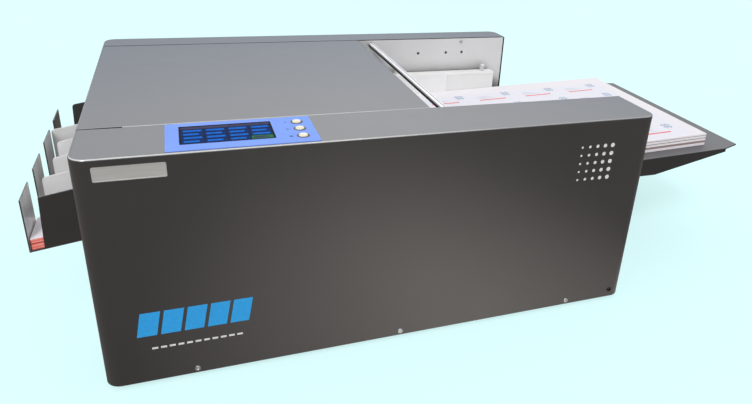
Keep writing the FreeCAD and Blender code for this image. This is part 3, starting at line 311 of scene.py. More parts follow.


def powder_coat(name, rgb, highlight_rgb, roughness, coat=1.0, specular=1.0):
    """Fine-textured baked paint, a little blotched, with a painted highlight on the upper bends, strongest at the
    left.
    """
    gloss = (roughness - 0.015, roughness + 0.015)
    shine = {"Specular_IOR_Level": specular, "Coat_Weight": coat, "Coat_Roughness": 0.24}
    paint = mottled(name, rgb, (0.96, 1.05), (0.06, 4), gloss, (0.035, 3), (0.0011, 0.05, 0.25), **shine)
    # Painted highlight: a lighter colour on the upper bends, fading along X
    up = paint.facing("Z")
    bend = paint.math("MULTIPLY", paint.spread(up, clip=(0.45, 0.7)), paint.spread(up, 1.0, 0.0, (0.84, 0.97)))
    painted_highlight = paint.math("MULTIPLY", bend, paint.spread(paint.cloud(0.012, 3), 0.8, 1.0))
    highlight_fade = paint.spread(paint.axis("X"), 1.0, 0.35, HIGHLIGHT_FADE)
    paint.cover(paint.math("MULTIPLY", painted_highlight, highlight_fade), highlight_rgb)
    return paint


def table_paint(c):
    """Matt black; its upward faces are painted lighter grey as painted light from above, in streaks like scuffs from
    the sheets.
    """
    rgb = shade(c.satin_black, 0.75)
    paint = powder_coat("matt black table paint", rgb, rgb, 0.48, 0.0, 0.8)
    # Painted light: upward faces lighter than the sides, streaked along X
    scuffs = paint.spread(paint.cloud(0.03, 4, (4, 1, 1)), 0.8, 1.0)
    level = paint.spread(paint.facing("Z"), clip=(0.97, 0.99))
    paint.cover(paint.math("MULTIPLY", level, scuffs), (0.105, 0.105, 0.11))
    return paint


def tray_paint(c):
    """Satin black, with a pale bloom on the inner faces of the flaps of the lanes in use: a painted reflection of
    the cards and the sky, patterned like paper dust.
    """
    paint = powder_coat("satin black tray paint", c.satin_black, shade(c.bend_highlight_grey, 0.12), 0.3, 0.6, 0.8)
    height = paint.axis("Z")
    foot, waist, top = 0.150, 0.170, 0.188   # of a flap
    thin = 0.7           # of the painted reflection, at the waist
    lower = paint.spread(height, 1.0, thin, (foot, waist))
    bloom = paint.math("MAXIMUM", lower, paint.spread(height, thin, 1.0, (waist, top)))
    inward = paint.spread(paint.facing("X"), clip=(0.8, 0.95))
    outer = paint.spread(paint.axis("X"), 1.0, 0.0, (COVER_LEFT - 0.069, COVER_LEFT - 0.066))
    used = paint.spread(paint.axis("Y"), 1.0, 0.0, (0.09, 0.10))
    for mask in (inward, outer, used, paint.spread(paint.cloud(0.02, 4, (1, 0.6, 2)), 0.7, 1.0)):
        bloom = paint.math("MULTIPLY", bloom, mask)
    # Painted reflection: the pale bloom laid on the flaps' inner faces
    paint.cover(bloom, (0.86, 0.86, 0.87))
    return paint


def base_paint(c):
    grey = shade(c.charcoal, 1.4)
    return powder_coat("base plate paint", grey, grey, 0.5)


def plate_paint(c):
    """Smooth light paint with smudges, and painted shade darkening its corners."""
    rgb = c.plate_grey
    gloss = (0.38, 0.52)
    paint = mottled("light grey plate paint", rgb, (0.95, 1.04), (0.09, 5), gloss, (0.03, 3), (0.0009, 0.03, 0.3))
    # Painted shade: the colour darkens where ambient occlusion finds corners
    corner = paint.node("ShaderNodeAmbientOcclusion", {"Distance": 0.035}, samples=8).outputs["AO"]
    unshaded = paint.spread(corner, clip=(0.3, 0.85))
    paint.set("Base Color", paint.blend(unshaded, shade(rgb, 0.3), paint.tone()))
    return paint


def moulded(name, rgb, roughness=0.5, grain=0.0008, **sockets):
    """Moulded plastic with a fine spark-eroded grain."""
    gloss = (roughness - 0.05, roughness + 0.06)
    return mottled(name, rgb, (0.95, 1.03), (0.05,), gloss, (0.02,), (grain, 0.04, 0.4), **sockets)


def key_plastic(c):
    """Glossy cream keycap with faint yellowing."""
    shine = {"Coat_Weight": 0.4, "Coat_Roughness": 0.12}
    return mottled("cream keycap", c.key_cream, (0.96, 1.0), (0.004,), (0.24, 0.34), (0.002,), **shine)


def metal(name, rgb, roughness, stretch, line, depth=0.02, metallic=1.0):
    """Worked metal. Its fine lines are longest along the axis with the largest stretch."""
    finish = Finish(name, Metallic=metallic)
    lines = finish.cloud(line, 2, stretch)
    finish.set("Base Color", finish.blend(finish.spread(lines), shade(rgb, 0.86), shade(rgb, 1.06)))
    finish.cover(finish.spread(finish.cloud(0.02, 3), 0.0, 0.35), shade(rgb, 0.9))
    finish.set("Roughness", finish.spread(lines, roughness - 0.05, roughness + 0.08))
    finish.relief(lines, depth * MM, 0.35)
    return finish


def rubber(name, rgb, roughness):
    """Matt rubber with a dusty bloom."""
    gloss = (roughness - 0.08, roughness + 0.08)
    grain = (0.0007, 0.05, 0.5)
    return mottled(name, rgb, (1.0, 1.9), (0.015, 5), gloss, (0.006, 3), grain, Specular_IOR_Level=0.2)


def film(c):
    """Printed polyester film: blue ink under a lightly textured face."""
    tones = (0.97, 1.05)
    grain = (0.0006, 0.01, 0.3)
    gloss = (0.4, 0.5)
    return mottled("blue panel film", c.film_blue, tones, (0.02, 3), gloss, (0.008,), grain, Specular_IOR_Level=0.35)


def lit(name, rgb, glow):
    """A part of the display: its own light under anti-glare glass."""
    shine = {"Emission_Strength": glow, "Specular_IOR_Level": 0.012}
    finish = mottled(name, rgb, (0.8, 1.15), (0.006, 2), (0.22, 0.3), (0.02,), **shine)
    finish.set("Emission Color", finish.tone())
    return finish


def ink(name, rgb, roughness=0.45):
    """Screen-printed ink, a little thin in places."""
    return mottled(name, rgb, (0.93, 1.04), (0.003, 3), (roughness - 0.05, roughness + 0.05), (0.002,))


def paper(name, rgb, sheen=0.0):
    """Uncoated paper with fibres."""
    fibres = (0.0012, 4, (3, 1, 1))
    gloss = (0.62 - sheen, 0.74 - sheen)
    grain = (0.0008, 0.02, 0.3)
    return mottled(name, rgb, (0.96, 1.02), fibres, gloss, (0.01,), grain, Specular_IOR_Level=0.3)


def circuit_board(c):
    """Green solder mask over a grid of copper tracks."""
    finish = Finish("circuit board", Coat_Weight=0.5, Coat_Roughness=0.2)
    grid = {"Vector": finish.place, "Scale": 180.0, "Mortar Size": 0.03}
    tracks = finish.node("ShaderNodeTexBrick", grid, offset=0.37).outputs["Fac"]
    finish.set("Base Color", finish.blend(tracks, (0.012, 0.11, 0.035), (0.03, 0.22, 0.06)))
    finish.set("Roughness", finish.spread(finish.cloud(0.01), 0.35, 0.5))
    finish.relief(tracks, 0.03 * MM, 0.5)
    return finish


# Every finish by name. c holds the colours that a user may change.
FINISHES = {
    "charcoal_paint": lambda c: powder_coat("charcoal powder coat", c.charcoal, c.bend_highlight_grey, 0.32),
    "table_paint": table_paint,
    "tray_paint": tray_paint,
    "base_paint": base_paint,
    "plate_paint": plate_paint,
    "guide_plastic": lambda c: moulded("white guide plastic", c.guide_white, 0.45),
    "strip_plastic": lambda c: moulded("grained wear strip", shade(c.guide_white, 0.9), 0.6, 0.003),
    "divider_plastic": lambda c: moulded("milky sheet plastic", c.divider_grey, 0.6, Transmission_Weight=0.35),
    "bin_plastic": lambda c: moulded("grey bin plastic", shade(c.divider_grey, 0.9), 0.42),
    "black_plastic": lambda c: moulded("black moulded plastic", (0.02, 0.02, 0.02), 0.42),
    "bezel_plastic": lambda c: moulded("dull black bezel", (0.006, 0.006, 0.008), 0.6, Specular_IOR_Level=0.1),
    "ring_plastic": lambda c: moulded("grey-brown button ring", (0.085, 0.07, 0.075), 0.45),
    "motor_enamel": lambda c: moulded("black motor enamel", (0.022, 0.022, 0.024), 0.35, 0.002),
    "key_plastic": key_plastic,
    "brushed_plate": lambda c: metal(
        "brushed name plate alloy", (0.50, 0.49, 0.47), 0.42, (60, 1, 1), 0.0006, 0.02, 0.35
    ),
    "ground_steel": lambda c: metal("ground shaft steel", (0.52, 0.53, 0.54), 0.3, (30, 1, 30), 0.0006),
    "bright_steel": lambda c: metal("bright plated steel", (0.72, 0.73, 0.74), 0.2, (4, 4, 4), 0.002, 0.006),
    "screw_steel": lambda c: metal("matt nickel", (0.82, 0.82, 0.82), 0.42, (4, 4, 4), 0.002, 0.006),
    "black_steel": lambda c: metal("blackened steel", (0.05, 0.045, 0.042), 0.4, (4, 4, 4), 0.002, 0.006),
    "knife_steel": lambda c: metal("ground knife steel", (0.66, 0.67, 0.69), 0.24, (1, 30, 1), 0.0006),
    "machined_alloy": lambda c: metal("machined alloy", (0.60, 0.61, 0.62), 0.36, (1, 60, 1), 0.0009),
    "bar_alloy": lambda c: metal("satin bar alloy", (0.86, 0.86, 0.88), 0.45, (1, 60, 1), 0.0009, 0.02, 0.5),
    "zinc_plate": lambda c: metal("zinc plated steel", (0.55, 0.56, 0.55), 0.4, (3, 3, 3), 0.004, 0.008),
    "black_rubber": lambda c: rubber("black rubber", (0.018, 0.018, 0.018), 0.7),
    "roller_rubber": lambda c: rubber("grey roller rubber", (0.05, 0.05, 0.052), 0.6),
    "film": film,
    "screen_glass": lambda c: lit("display glass", c.screen_navy, 0.5),
    "field_blue": lambda c: lit("blue display field", c.field_blue, 0.6),
    "field_pale": lambda c: lit("bright display bar", c.field_bright, 0.35),
    "field_dim": lambda c: lit("dim display row", (0.035, 0.035, 0.075), 0.5),
    "field_green": lambda c: lit("green display field", c.field_green, 0.6),
    "blue_ink": lambda c: ink("blue print", c.print_blue),
    "white_ink": lambda c: ink("white print", c.print_white),
    "symbol_ink": lambda c: ink("dark blue symbols", (0.03, 0.05, 0.28)),
    "lilac_ink": lambda c: ink("pale lilac print", (0.76, 0.76, 0.83), 0.6),
    "rose_ink": lambda c: ink("red print on the sheets", (0.74, 0.14, 0.16), 0.6),
    "slate_ink": lambda c: ink("grey-blue print on the sheets", (0.42, 0.48, 0.61), 0.6),
    "sheet_top": lambda c: paper("printed sheet", shade(c.paper, 0.93)),
    "sheet_edge": lambda c: paper("cut paper edge", shade(c.paper, 0.92)),
    # Dark paper edge: ink stains, and painted shadow at the foot of the sheet stack
    "ink_and_shadow_edge": lambda c: paper("ink-stained paper edge", (0.33, 0.25, 0.24)),
    "card_edge": lambda c: paper("red card edge", c.card_red),
    "card_face": lambda c: paper("card face", c.paper, 0.15),
    "circuit_board": circuit_board,
}
MADE = {}


def finish_of(name):
    """The material of a finish, made once."""
    if name not in MADE:
        MADE[name] = FINISHES[name](colours()).material
    return MADE[name]


# --- building pieces
def add_piece(name, bm, finish, body=MACHINE, replaces=(), sharp=30.0):
    """Makes an object of a finished mesh and lets it ride on its body."""
    bmesh.ops.recalc_face_normals(bm, faces=bm.faces)
    mesh = bpy.data.meshes.new(name)
    bm.to_mesh(mesh)
    bm.free()
    mesh.materials.append(finish_of(finish))
    mesh.shade_smooth()
    mesh.set_sharp_from_angle(angle=math.radians(sharp))
    piece = bpy.data.objects.new(name, mesh)
    bpy.context.scene.collection.objects.link(piece)
    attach(piece, body)
    if replaces:
        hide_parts(*replaces)
    return piece


WELD = 0.002 * MM        # corners nearer than this become one
FLAT = math.radians(0.4)
CORNER = math.radians(35.0)


def ease_node(node, name, finish, slot, ease=None):
    """Stands for a node: its shape with the edges eased, so that they catch light."""
    source = frame["nodes"][node]
    bm = bmesh.new()
    bm.from_mesh(source.data)
    bmesh.ops.remove_doubles(bm, verts=bm.verts, dist=WELD)
    bmesh.ops.dissolve_limit(bm, angle_limit=FLAT, verts=bm.verts, edges=bm.edges)
    corners = [e for e in bm.edges if e.is_manifold and e.calc_face_angle() > CORNER]
    width = sizes().edge_ease if ease is None else ease
    bmesh.ops.bevel(bm, geom=corners, offset=width, segments=2, profile=0.65, affect="EDGES", clamp_overlap=True)
    piece = add_piece(name, bm, finish, source["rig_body"], (node,), sharp=60.0)
    piece.modifiers.new("even shading", "WEIGHTED_NORMAL").keep_sharp = True


def placed(x, y, z, turn=(0, 0, 0)):
    """Place at a point, turned about X, Y and Z."""
    return Matrix.Translation((x, y, z)) @ Euler(turn).to_matrix().to_4x4()


def along_y(x, y, z, way=1):
    """Place whose axis points along Y, or against it where way is -1."""
    return placed(x, y, z, (-way * QUARTER, 0, 0))


def block(bm, lower, upper, ease=0.0):
    """Block between two corners with eased edges."""
    lower = Vector(lower)
    upper = Vector(upper)
    size = upper - lower
    corners = bmesh.ops.create_cube(bm, size=1.0)["verts"]
    for corner in corners:
        corner.co = Vector((corner.co[i] * size[i] for i in range(3))) + (lower + upper) / 2
    if ease:
        edges = dict.fromkeys(edge for corner in corners for edge in corner.link_edges)   # each once, in order
        bmesh.ops.bevel(bm, geom=list(edges), offset=ease, segments=2, profile=0.7, affect="EDGES")


def skin(bm, rings, closed=False):
    """Faces between rings of equally many vertices. A closed skin joins the last ring to the first."""
    count = len(rings[0])
    pairs = list(zip(rings, rings[1:]))
    if closed:
        pairs.append((rings[-1], rings[0]))
    else:
        bm.faces.new(rings[0])
        bm.faces.new(reversed(rings[-1]))
    for near, far in pairs:
        for i in range(count):
            j = (i + 1) % count
            bm.faces.new((near[i], near[j], far[j], far[i]))


def turned(bm, place, profile, steps, shape=None, closed=False):
    """Turned piece from (radius, height) pairs along the place's axis. shape may change a radius by its angle."""
    rings = []
    for radius, height in profile:
        ring = []
        for i in range(steps):
            angle = 2 * math.pi * i / steps
            reach = shape(radius, angle) if shape else radius
            ring.append(bm.verts.new(place @ Vector((reach * math.cos(angle), reach * math.sin(angle), height))))
        rings.append(ring)
    skin(bm, rings, closed)


def ribbed(radius, depth, count):
    """Shape for turned: shallow ribs on the rings that reach past radius."""

    def shape(reach, angle):
        return reach if reach < radius else reach - depth * (0.5 - 0.5 * math.cos(count * angle))

    return shape


def flat_shape(bm, place, points, thick):
    """Thin plate with an outline of (x, y) points, from the place's plane up to thick."""
    skin(bm, [[bm.verts.new(place @ Vector((x, y, z))) for x, y in points] for z in (0, thick)])


def add_flat(name, place, outlines, finish, thick=None):
    """Adds one piece of thin plates, as thick as a print where thick isn't given."""
    bm = bmesh.new()
    for outline in outlines:
        flat_shape(bm, place, outline, sizes().print_proud if thick is None else thick)
    add_piece(name, bm, finish)


def rectangle(left, right, bottom, top, slant=0.0):
    """Corners of a rectangle, its top moved along by slant."""
    return [(left, bottom), (right, bottom), (right + slant, top), (left + slant, top)]


def rounded_rectangle(left, right, bottom, top, radius, steps=6):
    """Points round a rectangle with rounded corners."""
    points = []
    corners = ((right, top, 0), (left, top, 1), (left, bottom, 2), (right, bottom, 3))
    for x, y, quarter in corners:
        inner_x = x - radius if x == right else x + radius
        inner_y = y - radius if y == top else y + radius
        for i in range(steps + 1):
            turn = (quarter + i / steps) * math.pi / 2
            points.append((inner_x + radius * math.cos(turn), inner_y + radius * math.sin(turn)))
    return points


def round_points(x, y, radius, steps=20):
    """Points round a circle."""
    turns = [2 * math.pi * i / steps for i in range(steps)]
    return [(x + radius * math.cos(turn), y + radius * math.sin(turn)) for turn in turns]


class Maker:
    """Shared by the operators: gives nodes a finish, eases others, then builds pieces of its own."""

    dressed = {}             # nodes by finish
    eased = ()               # what ease_node takes, once for each node

    def build(self):
        """Nothing more to build, where an operator has no build of its own."""

    def execute(self, context):
        for finish, nodes in self.dressed.items():
            for node in nodes:
                for slot in frame["nodes"][node].material_slots:
                    slot.material = finish_of(finish)
        for entry in self.eased:
            ease_node(*entry)
        self.build()
        return {"FINISHED"}


# --- casing
class CUTTER_OT_casing(Maker, Operator):
    """Paints the two covers and the lid, with a black strip of painted shade along the seam by its hinge, and the
    trims on the covers' ends
    """

    bl_idname = "card_cutter.casing"
    bl_label = "Covers and lid"

    dressed = {"charcoal_paint": ("front_cover", "rear_cover"), "ground_steel": ("lid_pivot_pins",)}
    eased = (("top_lid", "lid_sheet", "charcoal_paint", "casing_paint", 0.5 * MM),)
    seam_shade_start = 1.0 * MM
    seam_shade_end = 46.0 * MM
    seam_shade_height = 2.5 * MM
    seam_shade_lap = 0.2 * MM      # how far the black strip of painted seam shade laps over the lid's eased edge
    seam_shade_narrow = 0.7 * MM   # how far it laps over the cover at its left end
    seam_shade_wide = 2.3 * MM     # and at its right end
    seam_shade_proud = 0.06 * MM
    trim_width = 2.6 * MM    # black edge trim on the covers' right ends, inside the channel
    trim_proud = 0.25 * MM
    trim_foot = 20.0 * MM
    trim_drop = 2.0 * MM
    trim_ease = 0.1 * MM

    def build(self):
        # Painted shade: a dull black strip for the shadow in the seam by the lid's hinge
        left = COVER_LEFT + self.seam_shade_start
        right = COVER_LEFT + self.seam_shade_end
        lid_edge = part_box("top_lid")[0].y + self.seam_shade_lap
        outline = [
            (left, CHANNEL_FRONT - self.seam_shade_narrow),
            (right, CHANNEL_FRONT - self.seam_shade_wide),
            (right, lid_edge),
            (left, lid_edge),
        ]
        place = placed(0, 0, COVER_TOP - self.seam_shade_height)
        add_flat("hinge_seam_shade", place, [outline], "bezel_plastic", self.seam_shade_height + self.seam_shade_proud)
        bm = bmesh.new()
        for face in (CHANNEL_FRONT, CHANNEL_REAR):
            lower = (COVER_RIGHT - self.trim_width, face - self.trim_proud, COVER_FOOT + self.trim_foot)
            block(bm, lower, (COVER_RIGHT, face + self.trim_proud, COVER_TOP - self.trim_drop), self.trim_ease)
        add_piece("edge_trims", bm, "bezel_plastic")


class CUTTER_OT_inner_frame(Maker, Operator):
    """Finishes the side plates, base plate, outlet panel, decks and tie rods"""

    bl_idname = "card_cutter.inner_frame"
    bl_label = "Inner frame"

    dressed = {
        "plate_paint": ("front_side_plate", "rear_side_plate", "outlet_panel", "paper_decks"),
        "base_paint": ("base_plate",),
        "ground_steel": ("tie_rods",),
    }


class CUTTER_OT_cross_bar(Maker, Operator):
    """Makes the bar beside the lid, with a thin black rubber strip of painted shade low on its lid side and a black
    cord of painted shade in its groove
    """

    bl_idname = "card_cutter.cross_bar"
    bl_label = "Cross bar"

    side_shade_thick = 0.4 * MM
    side_shade_share = 0.6         # how much of the bar's height it covers
    groove = 1.1 * MM
    groove_drop = 2.0 * MM
    groove_place = 0.64      # share of the bar's width
    groove_shade_drop = 0.5 * MM
    groove_shade_ease = 0.1 * MM

    def build(self):
        start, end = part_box("cross_bar")
        ease = sizes().edge_ease
        groove_x = start.x + self.groove_place * (end.x - start.x)
        level = start.z + self.side_shade_share * (end.z - start.z)
        over = end.z - self.groove_drop
        bm = bmesh.new()
        # the block without eased edges comes first: after the others its faces would vary in order
        block(bm, (groove_x - ease, start.y, start.z), (groove_x + self.groove + ease, end.y, over))
        block(bm, (start.x + self.side_shade_thick, start.y, start.z), (groove_x, end.y, end.z), ease)
        block(bm, (start.x, start.y, level), (start.x + self.side_shade_thick + 2 * ease, end.y, end.z), ease / 2)
        block(bm, (groove_x + self.groove, start.y, start.z), (end.x, end.y, end.z), ease)
        add_piece("cross_bar_grooved", bm, "bar_alloy", replaces=("cross_bar",))
        # Painted shade: black rubber on the bar's shaded lid side and down in its groove
        bm = bmesh.new()
        block(bm, start, (start.x + self.side_shade_thick, end.y, level), self.side_shade_thick / 3)
        groove_shade_end = (groove_x + self.groove - ease / 4, end.y, end.z - self.groove_shade_drop)
        block(bm, (groove_x + ease / 4, start.y, over), groove_shade_end, self.groove_shade_ease)
        add_piece("cross_bar_painted_shade", bm, "black_rubber")


class CUTTER_OT_cover_screws(Maker, Operator):
    """Makes the socket screws of the covers and the inner walls, the covers' corner screws in black"""

    bl_idname = "card_cutter.cover_screws"
    bl_label = "Cover screws"

    head_radius = 3.5 * MM
    head_height = 1.5 * MM
    shank_radius = 1.9 * MM
    shank_length = 4.0 * MM
    socket_depth = 1.1 * MM
    steps = 24
    places = ((98.7, 6.0), (349.1, 6.0), (599.5, 6.0))
    corner_place = (672.7, 11.3)
    wall_place = (605.0, 273.5)

    def screw(self, bm, place):
        socket = sizes().screw_socket / 2
        side = math.pi / 3

        def shape(radius, angle):
            """The socket's rings are hexagons."""
            if radius > socket or radius <= 0:
                return radius
            return radius * math.cos(side / 2) / math.cos((angle % side) - side / 2)

        head = self.head_height
        profile = [
            (self.shank_radius, -self.shank_length),
            (self.shank_radius, 0),
            (self.head_radius, 0),
            (self.head_radius, 0.35 * head),
            (0.93 * self.head_radius, 0.68 * head),
            (0.78 * self.head_radius, 0.90 * head),
            (socket * 1.12, head),
            (socket, 0.95 * head),
            (socket, head - self.socket_depth),
            (0.15 * socket, head - self.socket_depth * 1.15),
        ]
        turned(bm, place, profile, self.steps, shape)

    def pair(self, bm, place, front, rear, way):
        """One screw in a front face and one in a rear face, opposite each other."""
        x = COVER_LEFT + place[0] * MM
        z = COVER_FOOT + place[1] * MM
        self.screw(bm, along_y(x, front, z, way))
        self.screw(bm, along_y(x, rear, z, -way))

    def build(self):
        bright = bmesh.new()
        for place in self.places:
            self.pair(bright, place, FRONT_FACE, REAR_FACE, -1)
        self.pair(bright, self.wall_place, CHANNEL_FRONT, CHANNEL_REAR, 1)
        add_piece("socket_screws", bright, "bright_steel", replaces=("cover_screws",))
        black = bmesh.new()
        self.pair(black, self.corner_place, FRONT_FACE, REAR_FACE, -1)
        add_piece("corner_screws", black, "black_steel")


class CUTTER_OT_name_plate(Maker, Operator):
    """Makes the blank brushed plate on the front face, with a shallow field inside its rim"""

    bl_idname = "card_cutter.name_plate"
    bl_label = "Blank plate"

    rim = 1.1 * MM
    corner = 1.6 * MM
    field_depth = 0.22 * MM

    def build(self):
        start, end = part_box("name_plate")
        bm = bmesh.new()
        outline = rounded_rectangle(start.x, end.x, start.z, end.z, self.corner)
        flat_shape(bm, placed(0, end.y, 0, (QUARTER, 0, 0)), outline, end.y - start.y)
        bmesh.ops.recalc_face_normals(bm, faces=bm.faces)
        face = min(bm.faces, key=lambda f: f.calc_center_median().y)
        bmesh.ops.inset_individual(bm, faces=[face], thickness=self.rim, depth=0)
        bmesh.ops.inset_individual(bm, faces=[face], thickness=self.field_depth, depth=-self.field_depth)
        add_piece("brushed_plate", bm, "brushed_plate", replaces=("name_plate",))


class CUTTER_OT_front_print(Maker, Operator):
    """Prints five slanted blue bars, a dashed cutting line and a dot pattern on the front face"""

    bl_idname = "card_cutter.front_print"
    bl_label = "Front print"

    bar_left = 39.0 * MM
    bar_right = 160.0 * MM
    bar_bottom = 63.0 * MM
    bar_top = 94.0 * MM
    bar_count = 5
    bar_gap = 4.0 * MM
    bar_slant = 6.0 * MM
    dash_left = 53.0 * MM
    dash_right = 152.0 * MM
    dash_height = 44.0 * MM
    dash_thick = 2.6 * MM
    dash_count = 11
    dash_share = 0.68
    dots_left = 585.0 * MM
    dots_bottom = 199.0 * MM
    dots_pitch = 11.5 * MM
    dot_small = 1.5 * MM
    dot_large = 3.0 * MM

    def bars(self):
        pitch = (self.bar_right - self.bar_left + self.bar_gap) / self.bar_count
        for i in range(self.bar_count):
            left = self.bar_left + i * pitch
            yield rectangle(left, left + pitch - self.bar_gap, self.bar_bottom, self.bar_top, self.bar_slant)

    def dashes(self):
        pitch = (self.dash_right - self.dash_left) / (self.dash_count - 1 + self.dash_share)
        top = self.dash_height + self.dash_thick
        for i in range(self.dash_count):
            left = self.dash_left + i * pitch
            yield rectangle(left, left + self.dash_share * pitch, self.dash_height, top)

    def dots(self):
        count = sizes().dot_rows
        for column in range(count):
            grow = column / max(1, count - 1)
            radius = self.dot_small + (self.dot_large - self.dot_small) * grow
            x = self.dots_left + column * self.dots_pitch
            for row in range(count):
                yield round_points(x, self.dots_bottom + row * self.dots_pitch, radius)

    def build(self):
        """x runs right from the cover's left end, y up from its foot."""
        place = placed(COVER_LEFT, FRONT_FACE, COVER_FOOT, (QUARTER, 0, 0))
        add_flat("blue_bars", place, self.bars(), "blue_ink")
        add_flat("dashed_line", place, self.dashes(), "white_ink")
        add_flat("dot_pattern", place, self.dots(), "white_ink")


# --- control panel
BUTTONS = ("front_button", "middle_button", "rear_button")


class CUTTER_OT_panel_film(Maker, Operator):
    """Finishes the panel film and board, and prints a symbol beside each button"""

    bl_idname = "card_cutter.panel_film"
    bl_label = "Panel film"

    dressed = {"film": ("panel_overlay",), "circuit_board": ("panel_board",)}
    symbol_gap = 13.0 * MM
    half = 1.9 * MM          # of a symbol's width
    ring_wall = 0.45 * MM
    steps = 24

    def build(self):
        """Stop square, start triangle and standby ring, from front to rear."""
        start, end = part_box("panel_overlay")
        thick = sizes().print_proud
        wall = self.ring_wall / 2
        half = self.half
        inner = half - self.ring_wall
        ring = [(half, 0), (half, thick), (inner, thick), (inner, 0)]
        spots = []
        for node in BUTTONS:
            centre = middle(node)
            x = centre.x - start.x - self.symbol_gap
            y = centre.y - start.y
            spots.append(placed(start.x, start.y, end.z) @ placed(x, y, 0))
        bm = bmesh.new()
        flat_shape(bm, spots[0], rectangle(-half, half, -half, half), thick)
        flat_shape(bm, spots[1], [(-half, -half), (half, 0), (-half, half)], thick)
        turned(bm, spots[2], ring, self.steps, closed=True)
        flat_shape(bm, spots[2], rectangle(-wall, wall, 0, half), thick)
        add_piece("button_symbols", bm, "symbol_ink")


class CUTTER_OT_display(Maker, Operator):
    """Makes the touch display: bezel, glass, and rows of unlettered fields"""

    bl_idname = "card_cutter.display"
    bl_label = "Display"

    bezel = 1.8 * MM
    bezel_ease = 0.15 * MM
    glass_drop = 0.25 * MM
    columns = 4
    rows = 4
    title_share = 0.16       # height of the title row, as a share of the glass
    gap = 0.5 * MM           # from a field's edge half way to the next one
    field_lift = 0.04 * MM
    bar_start = 0.12         # shares of a field's width and depth that its bar covers
    bar_ends = (0.78, 0.90)
    bar_depth = (0.27, 0.73)

    def bezel_piece(self, start, end, x, y):
        bm = bmesh.new()
        for lower, upper in (
            (start, (end.x, y[0], end.z)),
            ((start.x, y[1], start.z), end),
            ((start.x, y[0], start.z), (x[0], y[1], end.z)),
            ((x[1], y[0], start.z), (end.x, y[1], end.z)),
        ):
            block(bm, lower, upper, self.bezel_ease)
        add_piece("display_bezel", bm, "bezel_plastic", replaces=("display",))

    def field(self, bm, x, y, z):
        block(bm, (x[0], y[0], z), (x[1], y[1], z + self.field_lift))

    def build(self):
        start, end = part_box("display")
        x = (start.x + self.bezel, end.x - self.bezel)
        y = (start.y + self.bezel, end.y - self.bezel)
        self.bezel_piece(start, end, x, y)
        level = end.z - self.glass_drop
        bm = bmesh.new()
        block(bm, (x[0], y[0], start.z), (x[1], y[1], level))
        add_piece("display_glass_pane", bm, "screen_glass")
        title = y[1] - self.title_share * (y[1] - y[0])
        width = (x[1] - x[0]) / self.columns
        depth = (title - y[0]) / self.rows
        gap = self.gap
        groups = {name: bmesh.new() for name in ("field_dim", "field_blue", "field_pale", "field_green")}
        self.field(groups["field_dim"], (x[0] + gap, x[1] - gap), (title + gap, y[1] - gap), level)
        for column in range(self.columns):
            for row in range(self.rows):
                left = x[0] + column * width
                front = y[0] + row * depth
                corner = column == self.columns - 1 and row == 0
                field = groups["field_green" if corner else "field_blue"]
                self.field(field, (left + gap, left + width - gap), (front + gap, front + depth - gap), level)
                bar = (left + self.bar_start * width, left + self.bar_ends[row % 2] * width)
                reach = [front + share * depth for share in self.bar_depth]
                self.field(groups["field_dim" if corner else "field_pale"], bar, reach, level + self.field_lift)
        for name, bm in groups.items():
            add_piece("display_" + name, bm, name)


class CUTTER_OT_buttons(Maker, Operator):
    """Makes the three cream buttons with dished caps, and the dark rings that they slide in"""

    bl_idname = "card_cutter.buttons"
    bl_label = "Buttons"

    dish = 0.35 * MM
    shoulder = 2.0 * MM      # height of the collar
    cap_step = 2.5 * MM      # from the collar's edge in to the cap
    ring_width = 1.8 * MM
    ring_height = 0.35 * MM
    play = 0.25 * MM
    steps = 40

    def cap(self, node):
        start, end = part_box(node)
        centre = (start + end) / 2
        collar = (end.x - start.x) / 2
        radius = collar - self.cap_step
        top = end.z - start.z
        profile = [
            (collar - 0.3 * MM, 0.0),
            (collar, 0.3 * MM),
            (collar, self.shoulder - 0.2 * MM),
            (collar - 0.2 * MM, self.shoulder),
            (radius, self.shoulder),
            (radius, top - 0.8 * MM),
            (radius - 0.25 * MM, top - 0.25 * MM),
            (radius - 0.8 * MM, top),
            (0.6 * radius, top - 0.6 * self.dish),
            (0.3 * radius, top - 0.9 * self.dish),
            (0.05 * radius, top - self.dish),
        ]
        bm = bmesh.new()
        turned(bm, placed(centre.x, centre.y, start.z), profile, self.steps)
        add_piece(node + "_cap", bm, "key_plastic", node, (node,))
        return centre, radius

    def build(self):
        film_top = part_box("panel_overlay")[1].z
        rise = self.ring_height
        rings = bmesh.new()
        for node in BUTTONS:
            centre, radius = self.cap(node)
            inner = radius + self.play
            outer = inner + self.ring_width
            profile = [
                (outer, 0),
                (outer - 0.3 * rise, 0.8 * rise),
                (outer - 0.8 * rise, rise),
                (inner, rise),
                (inner, 0),
            ]
            turned(rings, placed(centre.x, centre.y, film_top), profile, self.steps, closed=True)
        add_piece("button_rings", rings, "ring_plastic")


# --- infeed
class CUTTER_OT_feed_table(Maker, Operator):
    """Paints the feed table, with its edges eased"""

    bl_idname = "card_cutter.feed_table"
    bl_label = "Feed table"

    eased = (("feed_table", "feed_table_sheet", "table_paint", "black_paint"),)


